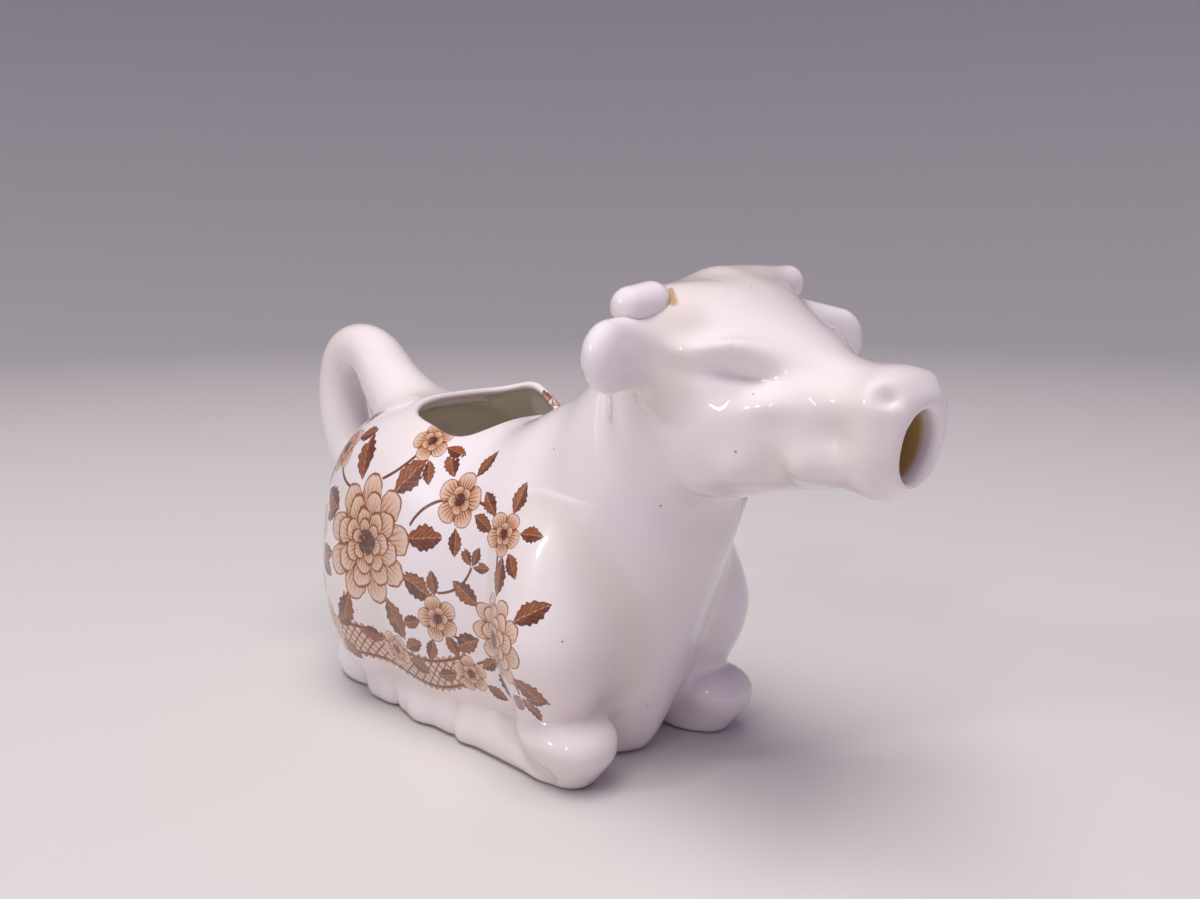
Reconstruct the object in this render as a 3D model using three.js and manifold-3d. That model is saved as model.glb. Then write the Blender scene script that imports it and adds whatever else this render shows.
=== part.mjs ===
// Milk jug in the form of a resting cow, in white glazed earthenware.
// It is filled through an opening in the back and pours from the mouth, and the tail is looped into a handle.
// The barrel, head, tail, ears, horns and legs are moulded apart and stuck together with slip before firing.
// Millimetres. +X runs to the muzzle, +Y to the cow's left and +Z up.
// The origin is on the table, under the barrel.
import * as THREE from "three";
import { mergeVertices } from "three/addons/utils/BufferGeometryUtils.js";
import Module from "manifold-3d";

// Cast walls, and the film of slip that sticks one piece to the next.
const WALL = 3.2;
const FLOOR = 4;
const SLIP = 0.3;
// Depth that a root runs into what carries it, before it is trimmed to fit.
const ROOT_DEPTH = 6;
// Share of its width that a rounded tip keeps at its very end.
const TIP_SHARE = 0.14;

// Barrel and neck: ribs from the rump to the throat.
// Each row is back x, back z, belly x, belly z, half width, fullness of the back, fullness of the belly.
const BARREL_RIBS = [
  [-60, 38, -60, 26, 8, 2.2, 2],
  [-58.5, 50, -58.5, 13, 18, 2.3, 2],
  [-55, 60, -55, 4, 24, 2.5, 2],
  [-49.5, 65.5, -49.5, -3, 27.5, 2.7, 2],
  [-41, 68.8, -41, -6, 29.5, 2.8, 2],
  [-31, 69.6, -31, -7, 30.5, 2.8, 2],
  [-20, 68.6, -19, -7, 30.5, 2.6, 2],
  [-10, 66.6, -6, -7, 29, 2.4, 2],
  [-1, 67.9, 6, -6, 27, 2.3, 2],
  [7, 71.8, 17, -4, 25.5, 2.2, 2],
  [14, 75.7, 27.5, 2, 22, 2.2, 1.6],
  [20, 80, 35.5, 20, 20.5, 2.2, 1.6],
  [26, 84.4, 41.3, 35.5, 19.5, 2.2, 1.65],
  [32, 88.2, 45.5, 50, 18.5, 2.2, 1.85],
  [38, 91.5, 49.4, 59.6, 18, 2.2, 2],
];
// The joint between the trunk and the head slants across the neck along this rib.
const NECK_JOINT_RIB = 12.2;

// Opening in the back, through which the jug is filled.
const FILL_X = -20.8;
const FILL_HALF_LENGTH = 12.2;
const FILL_HALF_WIDTH = 16.5;
const FILL_FULLNESS = 3;
// The back is pulled up at the left front corner of the opening: middle, half length, half width, height.
const RIM_LIFT_X = -24.5;
const RIM_LIFT_Y = 18;
const RIM_LIFT_HALF_LENGTH = 8;
const RIM_LIFT_HALF_WIDTH = 8;
const RIM_LIFT = 5.4;
// Height in the hollow from which the opening is cut up through the back.
const FILL_CUT_Z = 35;

// Head: ribs from the poll to the lips.
// Each row is brow x, brow z, jaw x, jaw z, half width, fullness above, fullness below.
const HEAD_RIBS = [
  [30, 91, 32, 76, 9, 2.4, 2.4],
  [33, 95.5, 36, 67, 16, 3, 3],
  [38, 99.3, 42, 61, 19.5, 3.4, 3.4],
  [44, 99.8, 48, 59, 21, 3.2, 3.2],
  [51, 97.5, 54, 59.5, 20.5, 2.7, 2.7],
  [58, 94.5, 60, 61, 18.5, 2.4, 2.4],
  [65, 90.5, 66, 62.5, 15.5, 2.2, 2.2],
  [71.5, 86.9, 72, 63.4, 13, 2.2, 2.2],
  [77.5, 85.4, 77, 63.6, 11.8, 2.2, 2.2],
  [83, 85.2, 81, 63.2, 11.4, 2.3, 2.3],
  [87, 83.8, 83.8, 63.6, 10.4, 2.3, 2.3],
  [88.8, 81, 85.2, 65.6, 8.2, 2.2, 2.2],
];

// Swellings and hollows of the face, the same on both sides: brow, eye socket, cheek, nose and nostril.
// Each row is rib, angle up from the side, height, half length in ribs, half angle.
const FACE = [
  [4.1, 0.95, 1.6, 1.1, 0.3],
  [4.9, 0.55, -3, 0.9, 0.23],
  [5.3, -0.2, 1.3, 1, 0.4],
  [9, 0.85, 1.5, 0.8, 0.42],
  [9.1, 0.75, -1.9, 0.4, 0.2],
];

// Mouth, which is the spout, a little below the middle of the lips.
const MOUTH_HALF_WIDTH = 5.2;
const MOUTH_HALF_HEIGHT = 5.9;
const MOUTH_DROP = 1;
const MOUTH_BORE_LENGTH = 32;
// The head is hollow between these ribs, and the mouth's bore runs on from the last of them.
const HEAD_HOLLOW_FROM_RIB = 2;
const HEAD_HOLLOW_TO_RIB = 9.6;

// Tail: a loop in the mid-plane, out of the top of the rump and back into its end.
const TAIL_RADIUS = 6.2;
// Each row is x, z and the share of the radius.
const TAIL_PATH = [
  [-46, 60, 1.25],
  [-54, 65.2, 1.36],
  [-60.5, 70.2, 1.21],
  [-66.5, 76, 1.06],
  [-73.5, 78, 1],
  [-80, 75.2, 1],
  [-83.3, 67, 1],
  [-82.6, 57.5, 1],
  [-78, 48.2, 1],
  [-69.5, 42, 1.03],
  [-60, 38.5, 1.1],
];

// Ears: round lobes that stand out sideways, rooted at a rib and an angle. The left one hangs a little.
const EAR_RIB = 2.9;
const EAR_ANGLE = 0.5;
const LEFT_EAR_LENGTH = 17.8;
const RIGHT_EAR_LENGTH = 17.2;
const LEFT_EAR_DROP = 2;
const RIGHT_EAR_DROP = 0;
const EAR_FORWARD = 6;
const EAR_HALF_HEIGHT = 6.6;
const EAR_HALF_THICKNESS = 4.2;
const EAR_DISH_DEPTH = 1.4;
// Share of its full size at the root, and the places along it where it is widest and where its end rounds.
const EAR_ROOT_SHARE = 0.95;
const EAR_WIDEST = 0.65;
const EAR_ROUND_FROM = 0.6;

// Horns: short, blunt and nearly level, rooted like the ears. The left one is longer and stands higher.
const HORN_RIB = 2.4;
const HORN_ANGLE = 1.12;
const LEFT_HORN_LENGTH = 15.5;
const RIGHT_HORN_LENGTH = 12;
const HORN_FORWARD = 1.5;
const LEFT_HORN_RISE = 5;
const RIGHT_HORN_RISE = 2.5;
const HORN_ROOT_RADIUS = 5.2;
const HORN_TIP_RADIUS = 3.2;
const HORN_ROUND_FROM = 0.82;

// Foot: its width over the folded shanks, and where their joints and hoofs lie. The left knee is further out.
const FOOT_HALF_WIDTH = 25.2;
const SHANK_HALF_WIDTH = 5.2;
const SHANK_HEIGHT = 11.6;
// Depth that a shank's round underside is sunk to give it a flat sole, and its waist half way along.
const SHANK_SINK = 2;
const SHANK_WAIST = 0.12;
// Places along a shank where the rounding of its joint ends and where that of its hoof starts.
const JOINT_ROUND_TO = 0.16;
const HOOF_ROUND_FROM = 0.88;
const LEFT_KNEE_X = 28;
const RIGHT_KNEE_X = 25.5;
const FORE_HOOF_X = -10;
const HOCK_X = -50;
const HIND_HOOF_X = -11;

// Forearm and shoulder, from the table up.
// Each row is x from the knee, z, half length, half width, and y inwards from the knee.
const FOREARM = [
  [-3.5, -2, 8.5, 5, 0.5],
  [-2.5, 4, 11, 7, 1.5],
  [-2.5, 9, 12, 8, 1.5],
  [-3.5, 14, 12, 8.8, 1.5],
  [-5, 20, 11.5, 10, 0.5],
  [-5, 28, 12.5, 11, 0.5],
  [-6.5, 38, 12, 10, 1.5],
  [-12, 50, 10, 7, 3.5],
  [-16, 58, 3, 3, 6],
];
const FOREARM_FULLNESS = 2.2;

// Haunch: an egg sunk in the flank.
const HAUNCH_X = -36;
const HAUNCH_Y = 21.5;
// Its lowest point, inside the shank.
const HAUNCH_LOW_Z = 5;
const HAUNCH_HALF_LENGTH = 16;
const HAUNCH_HALF_WIDTH = 11;
const HAUNCH_HALF_HEIGHT = 24;
// Hock: a lump that joins the foot of the haunch to the shank.
const HOCK_LUMP_X = -41;
const HOCK_LUMP_Z = 5;
const HOCK_HALF_LENGTH = 9;
const HOCK_HALF_WIDTH = 5;
const HOCK_HALF_HEIGHT = 8;

const GLAZE = { color: 0xf0e9e6, roughness: 0.12, metalness: 0 };

// Facets: rings along each form, and sides round it.
const BARREL_FACETS = [42, 32];
const BARREL_HOLLOW_FACETS = [24, 20];
const HEAD_FACETS = [40, 32];
const HEAD_HOLLOW_FACETS = [16, 18];
const FILL_SIDES = 32;
const MOUTH_SIDES = 26;
const TAIL_FACETS = [36, 12];
const EAR_FACETS = [18, 16];
const HORN_FACETS = [14, 12];
const SHANK_FACETS = [18, 12];
const FOREARM_FACETS = [16, 18];
const HAUNCH_FACETS = [14, 22];
const HOCK_FACETS = [10, 14];

// Step along the tail's path, in rows, that gives its direction.
const TAIL_STEP = 0.01;

// Reach of the blocks that trim the pieces, well past the jug.
const BEYOND = 300;

const wasm = await Module();
wasm.setup();

// A closed mesh as a solid that can be joined and cut.
function solid(geometry) {
  const bare = geometry.clone();
  bare.deleteAttribute("normal");
  bare.deleteAttribute("uv");
  const merged = mergeVertices(bare, 1e-4);
  const vertProperties = merged.attributes.position.array;
  const triVerts = new Uint32Array(merged.index.array);
  return new wasm.Manifold(new wasm.Mesh({ numProp: 3, vertProperties, triVerts }));
}

// The same solid on the cow's other side: y changes sign and each face turns round.
function mirrored(made) {
  const mesh = made.getMesh();
  const vertProperties = mesh.vertProperties.map((value, i) => (i % 3 === 1 ? -value : value));
  const triVerts = mesh.triVerts.map((corner, i, all) => all[i - (i % 3) + [0, 2, 1][i % 3]]);
  return new wasm.Manifold(new wasm.Mesh({ numProp: 3, vertProperties, triVerts }));
}

// Values between the rows of a table, on a smooth curve through all of them.
function between(rows) {
  const places = rows.map((row, i) => i);
  const curve = new THREE.CubicInterpolant(places, rows.flat(), rows[0].length);
  return (place) => Array.from(curve.evaluate(place));
}

function steps(from, to, count) {
  return Array.from({ length: count + 1 }, (_, i) => from + ((to - from) * i) / count);
}

function turns(count) {
  return Array.from({ length: count }, (_, i) => (i / count) * 2 * Math.PI);
}

// Distance from the middle of an oval to its edge. Fullness 2 is an ellipse, and more is squarer.
function reach(angle, halfWidth, halfHeight, fullness) {
  const across = Math.abs(Math.cos(angle)) / halfWidth;
  const along = Math.abs(Math.sin(angle)) / halfHeight;
  return (across ** fullness + along ** fullness) ** (-1 / fullness);
}

// Share of the full width along a blunt tip, from 1 where its rounding starts to TIP_SHARE at the end.
function blunt(place, start) {
  const past = Math.max(0, place - start) / (1 - start);
  return Math.sqrt(1 - (1 - TIP_SHARE ** 2) * past ** 2);
}

// A skin over closed rings of points, with a fan over each end.
function skin(rings) {
  const count = rings[0].length;
  const points = rings.flat();
  const faces = [];
  for (let i = 0; i + 1 < rings.length; i++) {
    for (let j = 0; j < count; j++) {
      const a = i * count + j;
      const b = i * count + ((j + 1) % count);
      faces.push(a, b, a + count, b, b + count, a + count);
    }
  }
  for (const end of [0, rings.length - 1]) {
    const middle = rings[end].reduce((sum, point) => sum.add(point), new THREE.Vector3());
    points.push(middle.divideScalar(count));
    for (let j = 0; j < count; j++) {
      const a = end * count + j;
      const b = end * count + ((j + 1) % count);
      faces.push(points.length - 1, end ? a : b, end ? b : a);
    }
  }
  return new THREE.BufferGeometry().setFromPoints(points).setIndex(faces);
}

// A solid lofted through rings: pointAt gives the point of the ring at a place and an angle.
function loft(from, to, [rings, sides], pointAt) {
  const ringAt = (place) => turns(sides).map((angle) => pointAt(place, angle));
  return solid(skin(steps(from, to, rings).map(ringAt)));
}

// A point on a rib that stands across the mid-plane. Angle 0 is the cow's left and a quarter turn is the top.
function ribPoint(rib, angle, grow) {
  const [topX, topZ, lowX, lowZ, halfWidth, topFullness, lowFullness] = rib;
  const up = new THREE.Vector3(topX - lowX, 0, topZ - lowZ);
  const halfHeight = up.length() / 2 + grow;
  const fullness = Math.sin(angle) > 0 ? topFullness : lowFullness;
  const out = reach(angle, halfWidth + grow, halfHeight, fullness);
  const point = new THREE.Vector3((topX + lowX) / 2, out * Math.cos(angle), (topZ + lowZ) / 2);
  return point.addScaledVector(up.normalize(), out * Math.sin(angle));
}

// Height of the face's swellings at a rib and angle, the same on both sides.
function faceSwell(place, angle) {
  const up = Math.asin(Math.sin(angle));
  return FACE.reduce((sum, [rib, at, height, halfLength, halfAngle]) => {
    const away = ((place - rib) / halfLength) ** 2 + ((up - at) / halfAngle) ** 2;
    return sum + height * Math.exp(-away);
  }, 0);
}

const barrelRib = between(BARREL_RIBS);
const headRib = between(HEAD_RIBS);
const LAST_BARREL_RIB = BARREL_RIBS.length - 1;
const LAST_HEAD_RIB = HEAD_RIBS.length - 1;

// A point of the barrel, raised where the back is pulled up beside the opening.
function barrelPoint(place, angle, grow) {
  const point = ribPoint(barrelRib(place), angle, grow);
  const awayX = (point.x - RIM_LIFT_X) / RIM_LIFT_HALF_LENGTH;
  const awayY = (point.y - RIM_LIFT_Y) / RIM_LIFT_HALF_WIDTH;
  point.z += RIM_LIFT * Math.max(0, Math.sin(angle)) * Math.exp(-(awayX ** 2) - awayY ** 2);
  return point;
}

function barrelSolid(grow, from, facets) {
  return loft(from, LAST_BARREL_RIB, facets, (place, angle) => barrelPoint(place, angle, grow));
}

function headPoint(place, angle, grow) {
  return ribPoint(headRib(place), angle, grow + faceSwell(place, angle));
}

function headSolid(grow, from, to, facets) {
  return loft(from, to, facets, (place, angle) => headPoint(place, angle, grow));
}

function blockUnder(height) {
  return solid(new THREE.BoxGeometry(BEYOND, BEYOND, BEYOND).translate(0, 0, height - BEYOND / 2));
}

// Everything on the head's side of the slanting joint across the neck, from a gap past it.
function aheadOfNeckJoint(gap) {
  const [topX, topZ, lowX, lowZ] = barrelRib(NECK_JOINT_RIB);
  const box = new THREE.BoxGeometry(BEYOND, BEYOND, BEYOND);
  box.translate(BEYOND / 2 + gap, 0, 0);
  box.rotateY(Math.atan2(topX - lowX, topZ - lowZ));
  return solid(box.translate((topX + lowX) / 2, 0, (topZ + lowZ) / 2));
}

const underTable = blockUnder(0);
const barrelSkin = barrelSolid(0, 0, BARREL_FACETS);
// The hollow starts one rib in, which leaves the rump a wall.
const barrelHollow = barrelSolid(-WALL, 1, BARREL_HOLLOW_FACETS).subtract(blockUnder(FLOOR));
const headSkin = headSolid(0, 0, LAST_HEAD_RIB, HEAD_FACETS);
const headHollow = headSolid(-WALL, HEAD_HOLLOW_FROM_RIB, HEAD_HOLLOW_TO_RIB, HEAD_HOLLOW_FACETS);
// Skins grown by the film of slip, to which the other pieces are trimmed.
const barrelSeat = barrelSolid(SLIP, 0, BARREL_FACETS);
const headSeat = headSolid(SLIP, 0, LAST_HEAD_RIB, HEAD_FACETS).add(barrelSeat);

// Trunk: the barrel and lower neck, hollow, with a flat foot and the fill opening cut down through the back.
function trunk() {
  const outline = turns(FILL_SIDES).map((angle) => {
    const out = reach(angle, FILL_HALF_LENGTH, FILL_HALF_WIDTH, FILL_FULLNESS);
    return new THREE.Vector2(FILL_X + out * Math.cos(angle), out * Math.sin(angle));
  });
  const fill = new THREE.ExtrudeGeometry(new THREE.Shape(outline), { depth: BEYOND, bevelEnabled: false });
  return barrelSkin
    .subtract(underTable)
    .subtract(barrelHollow)
    .subtract(solid(fill.translate(0, 0, FILL_CUT_Z)))
    .subtract(aheadOfNeckJoint(-SLIP));
}

// Head: the upper neck and the head, hollow through to the mouth.
function head() {
  const [topX, topZ, lowX, lowZ] = HEAD_RIBS[LAST_HEAD_RIB];
  const bore = new THREE.CylinderGeometry(1, 1, MOUTH_BORE_LENGTH, MOUTH_SIDES);
  bore.rotateZ(Math.PI / 2);
  bore.scale(1, MOUTH_HALF_WIDTH, MOUTH_HALF_HEIGHT);
  bore.translate((topX + lowX) / 2, 0, (topZ + lowZ) / 2 - MOUTH_DROP);
  return barrelSkin
    .add(headSkin)
    .intersect(aheadOfNeckJoint(0))
    .subtract(barrelHollow)
    .subtract(headHollow)
    .subtract(solid(bore));
}

// Tail handle: round in section, thickest at its root on the back.
function tailHandle() {
  const row = between(TAIL_PATH);
  const loop = loft(0, TAIL_PATH.length - 1, TAIL_FACETS, (place, angle) => {
    const [x, z, share] = row(place);
    const [beforeX, beforeZ] = row(place - TAIL_STEP);
    const [afterX, afterZ] = row(place + TAIL_STEP);
    const out = new THREE.Vector3(afterZ - beforeZ, 0, beforeX - afterX).normalize();
    const radius = TAIL_RADIUS * share;
    const point = new THREE.Vector3(x, radius * Math.sin(angle), z);
    return point.addScaledVector(out, radius * Math.cos(angle));
  });
  return loop.subtract(barrelSeat);
}

// Left ear: widest past the middle of its length, with a shallow dish in front.
function leftEarLobe(earLength, drop, grow) {
  const root = headPoint(EAR_RIB, EAR_ANGLE, -ROOT_DEPTH);
  const length = earLength + ROOT_DEPTH;
  return loft(0, 1, EAR_FACETS, (place, angle) => {
    const swell = Math.sin(((place / EAR_WIDEST) * Math.PI) / 2);
    const full = blunt(place, EAR_ROUND_FROM) * THREE.MathUtils.lerp(EAR_ROOT_SHARE, 1, swell);
    const dish = EAR_DISH_DEPTH * full * Math.max(0, Math.sin(angle)) ** 2;
    const thick = (EAR_HALF_THICKNESS + grow) * full * Math.sin(angle) - dish;
    const tall = (EAR_HALF_HEIGHT + grow) * full * Math.cos(angle);
    const z = root.z + tall - drop * place;
    return new THREE.Vector3(root.x + EAR_FORWARD * place + thick, root.y + length * place, z);
  });
}

function leftEar(earLength, drop) {
  return leftEarLobe(earLength, drop, 0).subtract(headSeat);
}

// Left horn: round in section, and trimmed to the head and to the ear under it.
function leftHorn(hornLength, rise, earSeat) {
  const root = headPoint(HORN_RIB, HORN_ANGLE, -ROOT_DEPTH);
  const length = hornLength + ROOT_DEPTH;
  const horn = loft(0, 1, HORN_FACETS, (place, angle) => {
    const taper = THREE.MathUtils.lerp(HORN_ROOT_RADIUS, HORN_TIP_RADIUS, place);
    const radius = taper * blunt(place, HORN_ROUND_FROM);
    const x = root.x + HORN_FORWARD * place + radius * Math.sin(angle);
    const z = root.z + rise * place ** 2 + radius * Math.cos(angle);
    return new THREE.Vector3(x, root.y + length * place, z);
  });
  return horn.subtract(headSeat).subtract(earSeat);
}

// A shank folded along the foot from a joint to a hoof, rounded at both ends.
function leftShank(jointX, hoofX) {
  const middleY = FOOT_HALF_WIDTH - SHANK_HALF_WIDTH;
  const half = SHANK_HEIGHT / 2;
  const way = Math.sign(hoofX - jointX);
  const startX = jointX - way * half;
  return loft(0, 1, SHANK_FACETS, (place, angle) => {
    const ends = blunt(place, HOOF_ROUND_FROM) * blunt(1 - place, 1 - JOINT_ROUND_TO);
    const full = ends * (1 - SHANK_WAIST * Math.sin(place * Math.PI));
    const x = THREE.MathUtils.lerp(startX, hoofX, place);
    const y = middleY + way * SHANK_HALF_WIDTH * full * Math.cos(angle);
    return new THREE.Vector3(x, y, half * full * (1 + Math.sin(angle)) - SHANK_SINK);
  });
}

// Left foreleg: the shoulder and forearm come down in a column to the knee, and the shank is folded back.
function leftForeleg(kneeX) {
  const kneeY = FOOT_HALF_WIDTH - SHANK_HALF_WIDTH;
  const row = between(FOREARM);
  const forearm = loft(0, FOREARM.length - 1, FOREARM_FACETS, (place, angle) => {
    const [x, z, halfLength, halfWidth, inwards] = row(place);
    const out = reach(angle, halfLength, halfWidth, FOREARM_FULLNESS);
    return new THREE.Vector3(kneeX + x + out * Math.cos(angle), kneeY - inwards + out * Math.sin(angle), z);
  });
  return forearm.add(leftShank(kneeX, FORE_HOOF_X)).subtract(barrelSeat).subtract(underTable);
}

// Left hind leg: the haunch swells over the flank to the hock, and the shank lies forward along the foot.
function leftHindLeg() {
  const haunch = new THREE.SphereGeometry(1, ...HAUNCH_FACETS.toReversed());
  haunch.scale(HAUNCH_HALF_LENGTH, HAUNCH_HALF_WIDTH, HAUNCH_HALF_HEIGHT);
  haunch.translate(HAUNCH_X, HAUNCH_Y, HAUNCH_LOW_Z + HAUNCH_HALF_HEIGHT);
  const hock = new THREE.SphereGeometry(1, ...HOCK_FACETS.toReversed());
  hock.scale(HOCK_HALF_LENGTH, HOCK_HALF_WIDTH, HOCK_HALF_HEIGHT);
  hock.translate(HOCK_LUMP_X, HAUNCH_Y, HOCK_LUMP_Z);
  const leg = solid(haunch).add(solid(hock)).add(leftShank(HOCK_X, HIND_HOOF_X));
  return leg.subtract(barrelSeat).subtract(underTable);
}

const jug = new THREE.Group();

function addPiece(name, made) {
  const { vertProperties, triVerts } = made.getMesh();
  const geometry = new THREE.BufferGeometry();
  geometry.setAttribute("position", new THREE.BufferAttribute(vertProperties, 3));
  geometry.setIndex(new THREE.BufferAttribute(triVerts, 1));
  const piece = new THREE.Mesh(geometry, new THREE.MeshStandardMaterial(GLAZE));
  piece.name = name;
  jug.add(piece);
}

// A pair of pieces: each is made for the left side, and the right one is then mirrored.
function addPair(name, left, right = left) {
  addPiece("left_" + name, left);
  addPiece("right_" + name, mirrored(right));
}

addPiece("trunk", trunk());
addPiece("head", head());
addPiece("tail_handle", tailHandle());
addPair("ear", leftEar(LEFT_EAR_LENGTH, LEFT_EAR_DROP), leftEar(RIGHT_EAR_LENGTH, RIGHT_EAR_DROP));
const leftEarSeat = leftEarLobe(LEFT_EAR_LENGTH, LEFT_EAR_DROP, SLIP);
const rightEarSeat = leftEarLobe(RIGHT_EAR_LENGTH, RIGHT_EAR_DROP, SLIP);
addPair(
  "horn",
  leftHorn(LEFT_HORN_LENGTH, LEFT_HORN_RISE, leftEarSeat),
  leftHorn(RIGHT_HORN_LENGTH, RIGHT_HORN_RISE, rightEarSeat),
);
addPair("foreleg", leftForeleg(LEFT_KNEE_X), leftForeleg(RIGHT_KNEE_X));
addPair("hind_leg", leftHindLeg());

export default jug;
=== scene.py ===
# Milk jug in the form of a resting cow: white earthenware with a brown floral transfer under a clear glaze.
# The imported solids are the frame. Every piece here is worked out in millimetres and stored in metres.
import math

import bmesh
import bpy
import numpy as np
from mathutils import Matrix


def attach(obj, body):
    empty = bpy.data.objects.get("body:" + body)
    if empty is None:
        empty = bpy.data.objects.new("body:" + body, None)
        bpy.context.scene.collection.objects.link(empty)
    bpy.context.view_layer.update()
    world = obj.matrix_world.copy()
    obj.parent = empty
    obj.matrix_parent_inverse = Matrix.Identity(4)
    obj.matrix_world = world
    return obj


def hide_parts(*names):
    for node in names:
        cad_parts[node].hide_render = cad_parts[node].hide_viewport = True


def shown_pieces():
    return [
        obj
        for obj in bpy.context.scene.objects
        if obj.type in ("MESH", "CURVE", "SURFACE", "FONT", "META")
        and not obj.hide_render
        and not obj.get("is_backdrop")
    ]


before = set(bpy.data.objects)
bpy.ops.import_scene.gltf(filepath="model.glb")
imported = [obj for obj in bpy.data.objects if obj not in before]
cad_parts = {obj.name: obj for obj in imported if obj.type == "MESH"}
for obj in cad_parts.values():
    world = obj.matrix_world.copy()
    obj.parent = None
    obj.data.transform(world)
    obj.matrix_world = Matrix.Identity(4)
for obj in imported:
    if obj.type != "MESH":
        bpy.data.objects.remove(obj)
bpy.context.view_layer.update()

# Trunk: the barrel and the lower neck, slip-cast in white earthenware with a wall of about 3 mm.
# It is open in the back, where the jug is filled, and at the neck, where the head is stuck on with slip.
# The flat foot is wiped clean of glaze before firing, and the flanks carry a brown transfer under the glaze.
MM = 0.001
TINY = 1e-6
WALL = 3.2
RIM_WALL = 1.9
HOLLOW_FLOOR_Z = 4.0
# Ribs from the rump to the throat: back x, back z, belly x, belly z, half width, fullness above and below.
TRUNK_RIBS = [
    [-60.6, 34, -60.6, 30, 2.6, 2.1, 2],
    [-60.0, 39, -60.0, 25, 9, 2.2, 2],
    [-58.5, 50, -58.5, 13, 18, 2.3, 2],
    [-55, 60, -55, 4, 24, 2.5, 2],
    [-49.5, 65.5, -49.5, -3, 27.5, 2.7, 2],
    [-41, 68.8, -41, -6, 29.5, 2.8, 2],
    [-31, 69.6, -31, -7, 30.5, 2.8, 2],
    [-20, 68.6, -19, -7, 30.5, 2.6, 2],
    [-10, 66.6, -6, -7, 29, 2.4, 2],
    [-1, 67.9, 6, -6, 27, 2.3, 2],
    [7, 71.8, 17, -4, 25.5, 2.2, 2],
    [14, 75.7, 27.5, 2, 22, 2.2, 1.6],
    [20, 80, 35.5, 20, 20.5, 2.2, 1.6],
    [26, 84.4, 41.3, 35.5, 19.5, 2.2, 1.65],
    [32, 88.2, 45.5, 50, 18.5, 2.2, 1.85],
    [38, 91.5, 49.4, 59.6, 18, 2.2, 2],
]
# The hollow starts at this rib.
HOLLOW_FROM_RIB = 2.1
# The joint with the head runs along this rib. Past it the trunk is tucked a hair under the head's skin.
NECK_JOINT_RIB = 13.2
NECK_TUCK_RIBS = 0.12
NECK_TUCK_DEPTH = 0.08
# The opening in the back: its middle, fullness and half sizes to the crest of the rim, half a wall out.
FILL_X = -20.8
FILL_FULLNESS = 3.0
CREST_HALF_LENGTH = 12.2 + RIM_WALL / 2
CREST_HALF_WIDTH = 16.5 + RIM_WALL / 2
RIM_RISE = 0.7
RIM_REACH = 4.0
# The rim is pulled up in its left front corner: x, y, half length, half width, height.
RIM_LIFT = [-24.5, 18, 8, 8, 5.4]
FOOT_ROUNDING = 2.2
SHARP_ANGLE = math.radians(50)
# Rows of the mesh on the rump, along the opening and on the neck, the power by which the first crowd to the
# rump's end, and columns round the trunk and over the rim.
RUMP_ROWS, OPENING_ROWS, NECK_ROWS = 55, 61, 45
RUMP_CROWDING = 1.25
TRUNK_COLUMNS, RIM_COLUMNS = 176, 9
# Corners, in x and z, of a grid of 1 mm in the mid-plane, the step in ribs for slopes along a skin, and how
# far off its rib's plane a point lies that is past the end of the skin.
SKIN_GRID_LOW, SKIN_GRID_HIGH = [-76.0, -16.0], [106, 120]
RIB_STEP = 0.1
PAST_END = 0.3


def spline(rows):
    """A natural cubic curve through the rows of a table, with one row at each whole number: the second
    derivatives at the rows solve a tridiagonal system, and each stretch is the cubic that has them at its
    ends."""
    rows = np.array(rows, float)
    count = len(rows)
    band = np.eye(count)
    inner = np.arange(1, count - 1)
    band[inner, inner] = 4
    band[inner, inner - 1] = 1
    band[inner, inner + 1] = 1
    bend = np.zeros_like(rows)
    bend[1:-1] = 6 * (rows[2:] - 2 * rows[1:-1] + rows[:-2])
    bend = np.linalg.solve(band, bend)

    def at(place):
        place = np.clip(np.asarray(place, float), 0, count - 1)
        row = np.minimum(place.astype(int), count - 2)
        past = (place - row)[..., None]
        left = 1 - past
        curve = (left**3 - left) * bend[row] + (past**3 - past) * bend[row + 1]
        return left * rows[row] + past * rows[row + 1] + curve / 6

    return at


def reach(angle, half_width, half_height, fullness):
    """Distance r from the middle of an oval to its edge, from |r cos a / w|^n + |r sin a / h|^n = 1."""
    across = np.abs(np.cos(angle)) / half_width
    along = np.abs(np.sin(angle)) / half_height
    return (across**fullness + along**fullness) ** (-1 / fullness)


def rib_axis(rib):
    """The middle of a rib in the mid-plane, its direction up and its half height."""
    up = rib[..., 0:2] - rib[..., 2:4]
    height = np.hypot(up[..., 0], up[..., 1])
    return (rib[..., 0:2] + rib[..., 2:4]) / 2, up / height[..., None], height / 2


def rib_reach(rib, angle, grow=0.0):
    """Distance from a rib's middle to its edge. It is fuller above the middle than below it."""
    fullness = np.where(np.sin(angle) > 0, rib[..., 5], rib[..., 6])
    return reach(angle, rib[..., 4] + grow, rib_axis(rib)[2] + grow, fullness)


def rib_point(rib, angle, grow=0.0):
    """A point on the edge of a rib that stands across the mid-plane, at an angle up from the cow's left."""
    out = rib_reach(rib, angle, grow)
    middle, up, _ = rib_axis(rib)
    place = middle + (out * np.sin(angle))[..., None] * up
    return np.stack([place[..., 0], out * np.cos(angle), place[..., 1]], -1)


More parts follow.
